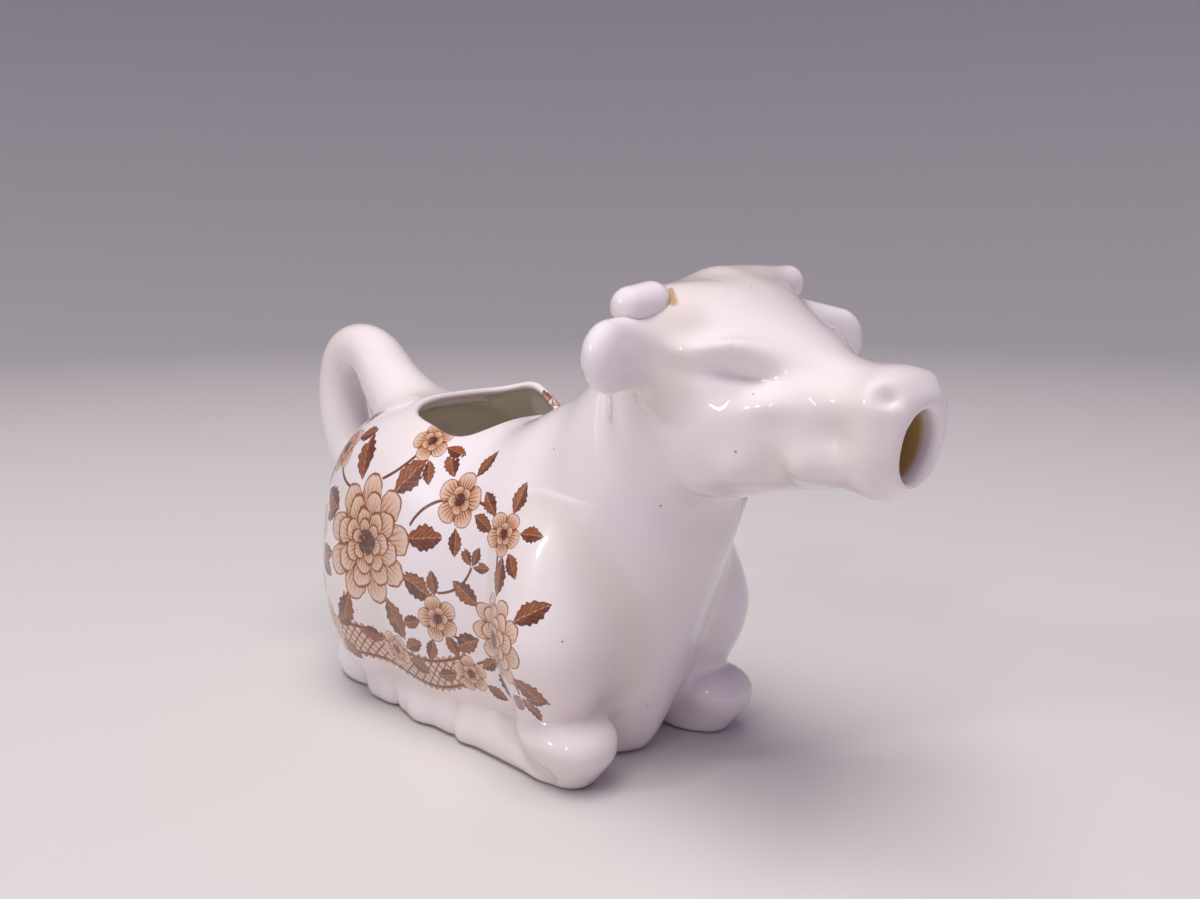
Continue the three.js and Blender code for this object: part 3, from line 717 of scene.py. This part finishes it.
# The fillet of a shoulder is wide where its front runs into the chest, and narrow at the flank and the knee.
FLANK_FILLET = 2.2
CHEST_FILLET = 14.0
KNEE_FILLET = 4.0
CHEST_FROM_X, CHEST_TO_X = 10, 24
CHEST_FROM_Z, CHEST_TO_Z = 8, 22
HAUNCH_FILLET = 4.5
FORELEG_BOX = (-16, -2, -1.1), (46, 36, 70)
HIND_LEG_BOX = (-66, 6, -1.1), (1, 37, 62)
LEG_PITCH = 0.75


def shank_gap(points, from_x, to_x):
    """Distance from a bar along the foot with an oval section and round ends."""
    middle, half = (from_x + to_x) / 2, (to_x - from_x) / 2
    past = np.maximum(np.abs(points[..., 0] - middle) - half + SHANK_END, 0) / SHANK_END
    across = (points[..., 1] - SHANK_Y) / SHANK_HALF_WIDTH
    rise = (points[..., 2] - SHANK_Z) / SHANK_HALF_HEIGHT
    return (np.sqrt(past**2 + across**2 + rise**2) - 1) * SHANK_HALF_WIDTH


def stack_gap(points, knee_x, rows, rounding):
    """Distance from a stack of level ovals whose place and size follow a table with height, with a round top:
    the level distance over sqrt(1 + slope^2), for its slope with height."""
    row_at = spline(rows)
    places = np.linspace(0, len(rows) - 1, 800)
    heights = row_at(places)[:, 1]

    def level(z):
        row = row_at(np.interp(z, heights, places))
        off_x = points[..., 0] - knee_x - row[..., 0]
        off_y = points[..., 1] - SHANK_Y + row[..., 4]
        out = reach(np.arctan2(off_y, off_x), row[..., 2], row[..., 3], FOREARM_FULLNESS)
        return np.hypot(off_x, off_y) - out

    z = points[..., 2]
    slope = level(z + 0.5) - level(z - 0.5)
    return -smooth_least(-level(z) / np.sqrt(1 + slope**2), rows[-1][1] - z, rounding)


def on_table(field, points):
    """The part of a field above the table, with the edge at the table rounded."""
    return -smooth_least(-field, points[..., 2], LEG_EDGE)


def foreleg_own(points, knee_x):
    """Distance from the shoulder, forearm, knee, shank and hoof, which run into each other, less the crease,
    and the width of the fillet."""
    shank = shank_gap(points, FORE_SHANK_X, knee_x)
    knee = smooth_least(stack_gap(points, knee_x, KNEE, KNEE_ROUNDING), shank, KNEE_BLEND)
    own = smooth_least(stack_gap(points, knee_x, FOREARM, SHOULDER_ROUNDING), knee, FOREARM_BLEND)
    own = smooth_least(own, oval_gap(points, *FORE_HOOF), HOOF_BLEND)
    crease = np.array(CREASE) + [knee_x, 0]
    apart = [from_line(points[..., ::2], start, end)[1] for start, end in zip(crease[:-1], crease[1:])]
    groove = np.exp(-((np.min(apart, 0) / CREASE_HALF_WIDTH) ** 2))
    own = own + CREASE_DEPTH * groove * (points[..., 1] > CREASE_FROM_Y)
    front = KNEE_FILLET + (CHEST_FILLET - KNEE_FILLET) * ease(points[..., 2], CHEST_FROM_Z, CHEST_TO_Z)
    return own, FLANK_FILLET + (front - FLANK_FILLET) * ease(points[..., 0], CHEST_FROM_X, CHEST_TO_X)


def hind_leg_own(points):
    """Distance from the haunch, hock, shank and hoof, which run into each other, and the fillet's width."""
    shank = smooth_least(*[shank_gap(points, *ends) for ends in HIND_SHANK], HOOF_BLEND)
    low = smooth_least(shank, oval_gap(points, *HIND_HOOF), HOOF_BLEND)
    low = smooth_least(low, oval_gap(points, *HOCK), HOCK_BLEND)
    return smooth_least(oval_gap(points, *HAUNCH), low, HAUNCH_BLEND), HAUNCH_FILLET


printed = [trunk]
for side, name, form, own, knee, box in (
        (1, "left_foreleg", "_shoulder_and_shank", foreleg_own, [LEFT_KNEE_X], FORELEG_BOX),
        (-1, "right_foreleg", "_shoulder_and_shank", foreleg_own, [RIGHT_KNEE_X], FORELEG_BOX),
        (1, "left_hind_leg", "_haunch_and_shank", hind_leg_own, [], HIND_LEG_BOX),
        (-1, "right_hind_leg", "_haunch_and_shank", hind_leg_own, [], HIND_LEG_BOX)):
    points, faces = level_mesh(
        lambda points: on_table(joined(trunk_gap(points), *own(points, *knee)), points), box, LEG_PITCH)
    leg = add_piece(name + form, points * [1, side, 1], faces, pool_share(*own(points, *knee)))
    printed.append(leg)
    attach(leg, "root")
    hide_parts(name)

# Floor: a plain pale bowl, painted matt and far wider than the jug, so that no edge shows behind it.
# It is flat under the jug and rises with the square of the distance further out. Its sizes are in metres.
FLOOR_RADIUS = 2.6
FLOOR_FLAT = 0.9
FLOOR_CURVE = 0.55
FLOOR_RINGS, FLOOR_SPOKES = 80, 96
FLOOR_COLOUR = "#D3D0CE"
FLOOR_ROUGHNESS = 0.7


def linear(colour):
    """A hex colour of sRGB as linear values: ((c + 0.055) / 1.055)^2.4, and c / 12.92 in the darkest part."""
    parts = np.array([int(colour[i:i + 2], 16) / 255 for i in (1, 3, 5)])
    return (*np.where(parts > 0.04045, ((parts + 0.055) / 1.055) ** 2.4, parts / 12.92).tolist(), 1.0)


radius = np.linspace(0, FLOOR_RADIUS, FLOOR_RINGS)[:, None]
angle = np.linspace(0, 2 * np.pi, FLOOR_SPOKES, endpoint=False)
rise = FLOOR_CURVE * np.maximum(radius - FLOOR_FLAT, 0) ** 2
grid = np.stack([radius * np.cos(angle), radius * np.sin(angle), rise + 0 * angle], -1) / MM
floor = add_piece("floor", grid.reshape(-1, 3), [quads(FLOOR_RINGS, FLOOR_SPOKES).reshape(-1, 4)])
paint = bpy.data.materials.new("pale_matt_paint")
paint.use_nodes = True
paint.node_tree.nodes["Principled BSDF"].inputs["Base Color"].default_value = linear(FLOOR_COLOUR)
paint.node_tree.nodes["Principled BSDF"].inputs["Roughness"].default_value = FLOOR_ROUGHNESS
floor.data.materials.append(paint)
floor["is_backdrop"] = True

# Light: a wide soft lamp overhead and a cool one from the right, both kept out of the glaze's reflections,
# and two narrow lamps at the camera's left that make the glints. All of them look at the jug's middle.
LAMPS = [
    # name, width, height, watts, colour, seen in the glaze, place
    ["top", 0.8, 0.8, 13.5, "#FFFBF4", False, (0.1, -0.2, 1.15)],
    ["right", 0.9, 0.9, 1.3, "#D5C2FF", False, (1.2, -0.3, 0.6)],
    ["left", 0.12, 0.12, 2.0, "#FFFFFF", True, (-0.35, -1.0, 0.6)],
    ["strip", 0.02, 0.5, 0.9, "#FFFFFF", True, (0.35, -1.0, 0.75)],
]
LAMP_TARGET = [0, 0, 0.05]
SKY_COLOUR = "#C9B8E8"
SKY_STRENGTH = 0.28
# Light reaches the far wall of the hollow only over many bounces.
DIFFUSE_BOUNCES = 10


def set_up(name, data, axes, place):
    """Adds a lamp or camera with its own axes along three directions, at a place in metres."""
    thing = bpy.data.objects.new(name, data)
    pose = np.eye(4)
    pose[:3] = np.stack([*axes, place], 1)
    thing.matrix_world = Matrix(pose.tolist())
    bpy.context.scene.collection.objects.link(thing)
    return thing


for name, wide, tall, power, colour, glints, place in LAMPS:
    lamp = bpy.data.lights.new(name, "AREA")
    lamp.shape = "RECTANGLE"
    lamp.size = wide
    lamp.size_y = tall
    lamp.energy = power
    lamp.color = linear(colour)[:3]
    away = np.array(place) - LAMP_TARGET
    away = away / np.linalg.norm(away)
    aside = np.cross([0, 0, 1.0], away)
    aside = aside / np.linalg.norm(aside)
    set_up(name, lamp, [aside, np.cross(away, aside), away], place).visible_glossy = glints
world = bpy.data.worlds.new("studio")
world.use_nodes = True
world.node_tree.nodes["Background"].inputs["Color"].default_value = linear(SKY_COLOUR)
world.node_tree.nodes["Background"].inputs["Strength"].default_value = SKY_STRENGTH
bpy.context.scene.world = world
bpy.context.scene.cycles.diffuse_bounces = DIFFUSE_BOUNCES

# Camera: it stands at the photograph's viewing angle, low and close in front of the cow's right shoulder.
CAMERA_AZIMUTH = math.radians(45.434)
CAMERA_ELEVATION = math.radians(10.84)
CAMERA_ROLL = math.radians(-0.303)
CAMERA_DISTANCE = 237.743
CAMERA_TARGET = np.array([10.0, 0.0, 45.0])
CAMERA_ASIDE = 3.03
CAMERA_ABOVE = 16.834
IMAGE_WIDTH = 1200
FOCAL_LENGTH_PIXELS = 1120
SENSOR_WIDTH = 36.0
NEAREST_SEEN = 0.01
back = np.array([math.sin(CAMERA_AZIMUTH) * math.cos(CAMERA_ELEVATION),
                 -math.cos(CAMERA_AZIMUTH) * math.cos(CAMERA_ELEVATION),
                 math.sin(CAMERA_ELEVATION)])
level = np.array([math.cos(CAMERA_AZIMUTH), math.sin(CAMERA_AZIMUTH), 0.0])
upright = np.cross(back, level)
eye = CAMERA_TARGET + level * CAMERA_ASIDE + upright * CAMERA_ABOVE + back * CAMERA_DISTANCE
right = math.cos(CAMERA_ROLL) * level + math.sin(CAMERA_ROLL) * upright
over = math.cos(CAMERA_ROLL) * upright - math.sin(CAMERA_ROLL) * level
lens = bpy.data.cameras.new("camera")
lens.sensor_width = SENSOR_WIDTH
lens.lens = SENSOR_WIDTH * FOCAL_LENGTH_PIXELS / IMAGE_WIDTH
lens.clip_start = NEAREST_SEEN
bpy.context.scene.camera = set_up("camera", lens, [right, over, back], eye * MM)
bpy.context.scene.view_settings.view_transform = "Standard"

# Transfer: a brown floral print, laid on the biscuit before glazing, on the flanks, shoulders and haunches.
# Its places are u = x and v = PRINT_RADIUS atan2(z - PRINT_Z, |y|) in millimetres, the same on both sides.
PRINT_RADIUS = 31.0
PRINT_Z = 33.0
# Blooms and blossoms: u, v, radius and turn.
BLOOMS = [[-27, 8, 14.0, 0.2], [-53, 6, 8.6, 0.9], [14, -4, 9.6, 0.5]]
BLOSSOMS = [[-3, 22, 6.2, 0.3], [12, 18, 5.0, 1.1], [-5, -5, 5.6, 0.7], [-43, -13, 5.6, 0.1],
            [-45, 26, 5.6, 0.5], [-17, 31, 4.6, 0.9], [2, -17, 4.6, 0.4], [-20, -15, 4.4, 0.8]]
# Their rings of petals, the outer ones first: petals, size and turn. The radius of the dark middle follows.
BLOOM_RINGS = [[9, 1.0, 0.0], [8, 0.76, 0.35], [7, 0.54, 0.1], [6, 0.36, 0.4]]
BLOSSOM_RINGS = [[5, 1.0, 0.0], [5, 0.52, 0.63]]
BLOOM_EYE = 0.2
BLOSSOM_EYE = 0.24
# Stems: from u, v to u, v, and how far they bend off the straight line.
STEMS = [[-14, 14, -3, 22, 2.0], [-3, 22, 12, 18, 2.4], [-5, -5, 6, -8, -2.2], [-25, 21, -17, 31, -1.5],
         [-36, 18, -45, 26, 1.8], [-43, -13, -34, -4, -2.0], [14, 6, 12, 18, 1.2], [18, -10, 20.5, -14, 1.0],
         [-14, 4, -5, -5, 1.6], [-53, -2, -43, -13, -2.4], [-5, 1, 4, 9, -1.8], [2, -17, 10, -13, 1.5]]
# Sprays of leaves round a flower or a stem's end: u, v, how far out they start, length and directions.
SPRAYS = [[-27, 8, 12.6, 10.5, (14, 58, 112, 158, 200, 246, 300, 338)],
          [-53, 6, 7.8, 8.0, (30, 92, 150, 268, 330)],
          [14, -4, 8.6, 9.0, (38, 92, 150, 205, 262, 318)],
          [-3, 22, 5.6, 6.6, (70, 135, 280, 340)],
          [12, 18, 4.5, 6.4, (10, 80, 140, 310)],
          [-5, -5, 5.0, 6.2, (100, 195, 250, 330)],
          [-43, -13, 5.0, 7.0, (20, 110, 200, 330)],
          [-45, 26, 5.0, 6.4, (20, 75, 150, 230)],
          [-17, 31, 4.1, 5.6, (0, 60, 120, 300)],
          [-20, -15, 3.9, 6.6, (20, 80, 160, 340)],
          [2, -17, 4.1, 6.0, (30, 120, 190, 330)],
          [20.5, -14, 0.3, 6.4, (235, 300, 352)],
          [4, 9, 0.3, 5.0, (10, 70, 130)]]
# A ribbon of trelliswork winds along the foot of the print: middle v, swing, wave length, half width, ends.
RIBBON_V = -16.5
RIBBON_SWING = 2.2
RIBBON_WAVE = 44.0
RIBBON_HALF_WIDTH = 3.6
RIBBON_ENDS = [-58.0, 2.0]
TRELLIS_PITCH = 2.3
BEAD_LENGTH = 1.9
BEAD_HEIGHT = 0.7
STEM_INK = 0.78
# The soft edge of a printed form as a share of its size, and the size and strength of the lines' wobble.
SOFT_EDGE = 0.02
WOBBLE_SIZE = 2.5
WOBBLE = 0.09
INK = [(0.0, "#E7D0C3"), (0.25, "#CDA283"), (0.5, "#A1602F"), (0.75, "#733614"), (1.0, "#441A07")]


def print_places(piece):
    """Stores for each corner of each face its place in the nearest flower or leaf to the face, moved, turned
    and divided by its size, its place along and off the nearest stem, and its u and v."""
    mesh = piece.data
    place = np.empty(len(mesh.vertices) * 3)
    mesh.vertices.foreach_get("co", place)
    place = place.reshape(-1, 3) / MM
    turn = np.arctan2(place[:, 2] - PRINT_Z, np.abs(place[:, 1]))
    corner = np.empty(len(mesh.loops), int)
    mesh.loops.foreach_get("vertex_index", corner)
    total = np.empty(len(mesh.polygons), int)
    mesh.polygons.foreach_get("loop_total", total)
    face = np.repeat(np.arange(len(total)), total)
    flat = np.stack([place[:, 0], PRINT_RADIUS * turn], -1)[corner]
    middle = np.stack([np.bincount(face, flat[:, axis]) / total for axis in (0, 1)], -1)

    def store(name, local):
        local = np.concatenate([local, np.zeros((len(local), 1))], -1)
        mesh.attributes.new(name, "FLOAT_VECTOR", "CORNER").data.foreach_set("vector", local.ravel())

    leaves = [[u + out * math.cos(math.radians(way)), v + out * math.sin(math.radians(way)), length,
               math.radians(way)] for u, v, out, length, ways in SPRAYS for way in ways]
    for name, rows, mid in (("bloom", BLOOMS, 0), ("blossom", BLOSSOMS, 0), ("leaf", leaves, 0.5)):
        rows = np.array(rows, float)
        way = np.stack([np.cos(rows[:, 3]), np.sin(rows[:, 3])], -1)
        centre = rows[:, :2] + mid * rows[:, 2:3] * way
        nearest = np.argmin(np.linalg.norm(middle[:, None] - centre, axis=-1) / rows[:, 2], 1)[face]
        off, way = flat - rows[nearest, :2], way[nearest]
        aside = off[:, 1] * way[:, 0] - off[:, 0] * way[:, 1]
        store(name, np.stack([np.sum(off * way, -1), aside], -1) / rows[nearest, 2:3])
    stems = np.array(STEMS, float)

    def along(points, stem):
        way = stem[..., 2:4] - stem[..., :2]
        length = np.linalg.norm(way, axis=-1)
        off = points - stem[..., :2]
        run = np.sum(off * way, -1) / length**2
        aside = (off[..., 1] * way[..., 0] - off[..., 0] * way[..., 1]) / length
        return run, aside - stem[..., 4] * 4 * run * (1 - run), length

    run, aside, length = along(middle[:, None], stems)
    nearest = np.argmin(np.hypot(aside, np.maximum(np.abs(run - 0.5) - 0.5, 0) * length), 1)[face]
    store("stem", np.stack(along(flat, stems[nearest])[:2], -1))
    store("print", flat)


def put(kind, *feeds, out=0, named=(), **settings):
    """Adds a shader node to the tree of the glaze in hand: its kind, with the operation after a space where
    it has one, its settings, and its inputs, linked or set in order or by name. None leaves an input as it
    is. Gives one output."""
    kind, _, operation = kind.partition(" ")
    node = tree.nodes.new("ShaderNode" + kind)
    if operation:
        node.operation = operation
    for key, value in settings.items():
        setattr(node, key, value)
    by_name = [(node.inputs[key], feed) for key, feed in dict(named).items()]
    for socket, feed in [*zip(node.inputs, feeds), *by_name]:
        if isinstance(feed, bpy.types.NodeSocket):
            tree.links.new(feed, socket)
        elif feed is not None:
            socket.default_value = feed
    return node.outputs[out] if node.outputs else node


def sway(place, rate):
    """sin(rate place), from which waves and lines that repeat are made."""
    return put("Math SINE", put("Math MULTIPLY", place, rate))


def petals(angle, far, count, size, turn):
    """A ring of petals round a middle: the edge lies at size (0.68 + 0.32 |cos(count (a + turn) / 2)|^0.6).
    Lines run round it, between the petals and out from the middle. Gives its cover and how dark it is."""
    wave = put("Math MULTIPLY_ADD", angle, count / 2, turn * count / 2)
    lobe = put("Math ABSOLUTE", put("Math COSINE", wave))
    edge = put("Math MULTIPLY_ADD", put("Math POWER", lobe, 0.6), 0.32 * size, 0.68 * size)
    gap = put("Math SUBTRACT", edge, far)
    rim = put("MapRange", gap, SOFT_EDGE, 3 * SOFT_EDGE, 0.72, 0.0)
    crease = put("MapRange", lobe, 0.06, 0.34, 0.7, 0.0)
    spokes = put("MapRange", sway(angle, count * 6.0), -0.2, 0.8, 0.35, 1.0)
    inner = put("MapRange", far, 0.45 * size, 0.92 * size, 0.62, 0.0)
    hatch = put("Math MULTIPLY", spokes, inner)
    dark = put("Math MAXIMUM", put("Math MAXIMUM", rim, crease), hatch)
    return put("MapRange", gap, 0.0, SOFT_EDGE), put("Math ADD", dark, 0.08)


def flower(name, rings, eye_radius, wobble):
    """Rings of petals, each over the one before, and a dark dotted middle, in places stored under a name."""
    place = put("VectorMath ADD", put("Attribute", attribute_name=name, out=1), wobble)
    split = put("SeparateXYZ", place).node
    angle = put("Math ARCTAN2", split.outputs[1], split.outputs[0])
    far = put("VectorMath LENGTH", place, out=1)
    cover, ink = 0.0, 0.0
    for count, size, turn in rings:
        on, dark = petals(angle, far, count, size, turn)
        ink = put("Mix", on, None, ink, dark)
        cover = put("Math MAXIMUM", cover, on)
    dots = put("TexVoronoi", place, None, 1 / (0.45 * eye_radius))
    seed = put("MapRange", dots, 0.15, 0.45, 0.3, 0.95)
    on = put("MapRange", far, 0.9 * eye_radius, eye_radius, 1.0, 0.0)
    return cover, put("Mix", on, None, ink, seed)


def ribbon():
    """A band that winds as sin(2 pi u / wave), with beads along its edges, a dark border and a net of two
    sets of slanting lines, each drawn where |sin| is small."""
    flat = put("SeparateXYZ", put("Attribute", attribute_name="print", out=1)).node
    u, v = flat.outputs[0], flat.outputs[1]
    winding = sway(u, 2 * math.pi / RIBBON_WAVE)
    off = put("Math SUBTRACT", v, put("Math MULTIPLY_ADD", winding, RIBBON_SWING, RIBBON_V))
    wide = put("Math ABSOLUTE", off)
    beads = put("Math ABSOLUTE", sway(u, math.pi / BEAD_LENGTH))
    edge = put("Math MULTIPLY_ADD", beads, BEAD_HEIGHT, RIBBON_HALF_WIDTH)
    start, end = RIBBON_ENDS
    cover = put("MapRange", put("Math SUBTRACT", edge, wide), 0.0, 0.15)
    cover = put("Math MULTIPLY", cover, put("MapRange", u, start, start + 0.4))
    cover = put("Math MULTIPLY", cover, put("MapRange", u, end - 0.4, end, 1.0, 0.0))
    ink = put("Math MULTIPLY",
              put("MapRange", wide, RIBBON_HALF_WIDTH - 0.9, RIBBON_HALF_WIDTH - 0.6, 0.0, 0.85),
              put("MapRange", wide, RIBBON_HALF_WIDTH - 0.3, RIBBON_HALF_WIDTH, 1.0, 0.3))
    for sign in (1.0, -1.0):
        slant = sway(put("Math MULTIPLY_ADD", off, sign, u), math.pi / TRELLIS_PITCH)
        line = put("MapRange", put("Math ABSOLUTE", slant), 0.2, 0.42, 0.7, 0.12)
        ink = put("Math MAXIMUM", ink, line)
    return cover, ink


def stem_lines():
    """Thin lines where a place lies close to the nearest stem's curve and between its ends."""
    stem = put("SeparateXYZ", put("Attribute", attribute_name="stem", out=1)).node
    middle = put("Math ABSOLUTE", put("Math SUBTRACT", stem.outputs[0], 0.5))
    thin = put("MapRange", put("Math ABSOLUTE", stem.outputs[1]), 0.26, 0.42, 1.0, 0.0)
    within = put("MapRange", middle, 0.49, 0.51, 1.0, 0.0)
    return put("Math MULTIPLY", thin, within), STEM_INK


def leaf_shapes(wobble):
    """Leaves of half width sin(pi s) (0.27 + 0.025 sin(38 s)) at the share s of their length, with slanting
    veins, a pale midrib, a dark edge and one half darker than the other."""
    place = put("VectorMath ADD", put("Attribute", attribute_name="leaf", out=1), wobble)
    leaf = put("SeparateXYZ", place).node
    run, off = leaf.outputs[0], leaf.outputs[1]
    aside = put("Math ABSOLUTE", off)
    notch = put("Math MULTIPLY_ADD", sway(run, 38.0), 0.025, 0.27)
    gap = put("Math SUBTRACT", put("Math MULTIPLY", sway(run, math.pi), notch), aside)
    on = put("MapRange", gap, 0.0, SOFT_EDGE)
    on = put("Math MULTIPLY", on, put("MapRange", run, 0.0, SOFT_EDGE))
    on = put("Math MULTIPLY", on, put("MapRange", run, 0.97, 1.0, 1.0, 0.0))
    veins = sway(put("Math MULTIPLY_ADD", aside, -1.3, run), 44.0)
    dark = put("MapRange", off, -0.05, 0.05, 0.86, 0.66)
    dark = put("Math SUBTRACT", dark, put("MapRange", veins, 0.3, 0.9, 0.0, 0.16))
    dark = put("Math SUBTRACT", dark, put("MapRange", aside, 0.008, 0.022, 0.3, 0.0))
    return on, put("Math ADD", dark, put("MapRange", gap, SOFT_EDGE, 0.05, 0.25, 0.0))


def transfer(coords):
    """The whole print: how much of the white it covers and how dark its ink is. Flowers lie over leaves,
    leaves over stems and stems over the ribbon. A small wobble keeps the lines from looking ruled."""
    shaky = put("TexNoise", coords, None, 1 / (WOBBLE_SIZE * MM), 1.0, out=1)
    middle = (-WOBBLE / 2, -WOBBLE / 2, 0.0)
    wobble = put("VectorMath MULTIPLY_ADD", shaky, (WOBBLE, WOBBLE, 0.0), middle)
    cover, ink = ribbon()
    for on, dark in (stem_lines(), leaf_shapes(wobble),
                     flower("blossom", BLOSSOM_RINGS, BLOSSOM_EYE, wobble),
                     flower("bloom", BLOOM_RINGS, BLOOM_EYE, wobble)):
        ink = put("Mix", on, None, ink, dark)
        cover = put("Math MAXIMUM", cover, on)
    return cover, ink


# Glaze: clear, thick and glossy on white earthenware, so that small lamps make sharp glints on a soft white.
# It is a little creamy where it runs thick in the fillets, with a few iron specks. The hollow of the trunk is
# stained a light cream by milk and tea. The mouth's inside is golden brown just past the lips, partly a stain
# and partly painted shade of the spout's dark inside. The foot, wiped before firing, shows bare buff clay.
WHITE = "#EEE6E9"
WHITE_WARM = "#EBE0DE"
WHITE_POOL = "#DCCFBE"
HOLLOW = "#F6F1E6"
HOLLOW_DARK = "#F0E9D9"
# Inside the mouth: a golden stain that is partly painted shade of the spout's dark inside.
MOUTH = "#D2B071"
MOUTH_DARK = "#BE9A5A"
SPECK = "#8A6A4C"
GLUE = "#B98F3E"
BARE_CLAY = "#CDB79A"
# Sizes in millimetres, and how much of the colour under them pool, specks and glue cover at most.
TINT_SIZE = 38.0
PATCH_SIZE = 1.2
SPECK_SPACING = 9.0
SPECK_RADIUS = 0.3
GLUE_GRAIN = 3.0
BARE_HEIGHT = 0.7
RIPPLE_SIZE = 11.0
RIPPLE_HEIGHT = 0.05
POOL_COVER = 0.4
SPECK_COVER = 0.75
GLUE_COVER = 0.8
GLAZE_IOR = 1.5
GLAZE_ROUGHNESS = 0.035
BODY_ROUGHNESS = 0.34
CLAY_ROUGHNESS = 0.85
glazes = {}
for slot, name, hollow in (("white_glaze", "clear_glaze_on_white_earthenware", (MOUTH, MOUTH_DARK)),
                           ("printed_glaze", "clear_glaze_over_brown_transfer", (HOLLOW, HOLLOW_DARK))):
    glaze = bpy.data.materials.new(name)
    glaze.use_nodes = True
    tree = glaze.node_tree
    tree.nodes.clear()
    coords = put("TexCoord", out=3)
    marks = [put("Attribute", attribute_name=mark, out=2) for mark in ("pool", "inside", "glue")]
    pool, inside, glue = marks
    tint = put("MapRange", put("TexNoise", coords, None, 1 / (TINT_SIZE * MM), 2.0), 0.38, 0.62)
    pool = put("Math MULTIPLY", pool, POOL_COVER)
    layers = [(tint, linear(WHITE_WARM)), (pool, linear(WHITE_POOL))]
    if slot == "printed_glaze":
        cover, ink = transfer(coords)
        patchy = put("TexNoise", coords, None, 1 / (PATCH_SIZE * MM), 3.0)
        cover = put("Math MULTIPLY", cover, put("MapRange", patchy, 0.3, 0.55, 0.93, 1.0))
        ramp = put("ValToRGB", ink).node
        while len(ramp.color_ramp.elements) < len(INK):
            ramp.color_ramp.elements.new(0.5)
        for element, (stop, shade) in zip(ramp.color_ramp.elements, INK):
            element.position = stop
            element.color = linear(shade)
        layers.append((cover, ramp.outputs[0]))
    speck_share = SPECK_RADIUS / SPECK_SPACING
    specks = put("TexVoronoi", coords, None, 1 / (SPECK_SPACING * MM))
    specks = put("MapRange", specks, 0.6 * speck_share, speck_share, SPECK_COVER, 0.0)
    # The colour of the hollow: a cream stain in the trunk, and in the mouth a stain that is partly painted
    # shade.
    stain_and_shade = put("Mix", tint, *[None] * 5, *map(linear, hollow), out=2, data_type="RGBA")
    grain = put("TexNoise", coords, None, 1 / (GLUE_GRAIN * MM))
    glue = put("Math MULTIPLY", put("MapRange", glue, 0.3, 0.8, 0.0, GLUE_COVER),
               put("MapRange", grain, 0.3, 0.42))
    height = put("SeparateXYZ", coords, out=2)
    bare = put("MapRange", height, 0.5 * BARE_HEIGHT * MM, BARE_HEIGHT * MM, 1.0, 0.0)
    layers += [(specks, linear(SPECK)), (inside, stain_and_shade), (glue, linear(GLUE)), (bare, linear(BARE_CLAY))]
    colour = linear(WHITE)
    for share, shade in layers:
        colour = put("Mix", share, *[None] * 5, colour, shade, out=2, data_type="RGBA")
    ripple = put("TexNoise", coords, None, 1 / (RIPPLE_SIZE * MM), 2.0)
    normal = put("Bump", 1.0, RIPPLE_HEIGHT * MM, named={"Height": ripple})
    shader = put("BsdfPrincipled", named={
        "Base Color": colour, "IOR": GLAZE_IOR, "Normal": normal, "Coat Normal": normal,
        "Coat IOR": GLAZE_IOR, "Coat Roughness": GLAZE_ROUGHNESS,
        "Roughness": put("MapRange", bare, 0.0, 1.0, BODY_ROUGHNESS, CLAY_ROUGHNESS),
        "Coat Weight": put("MapRange", bare, 0.0, 1.0, 1.0, 0.0)})
    put("OutputMaterial", shader)
    glazes[slot] = glaze
for piece in printed:
    print_places(piece)
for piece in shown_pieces():
    piece.data.materials.append(glazes["printed_glaze" if piece in printed else "white_glaze"])
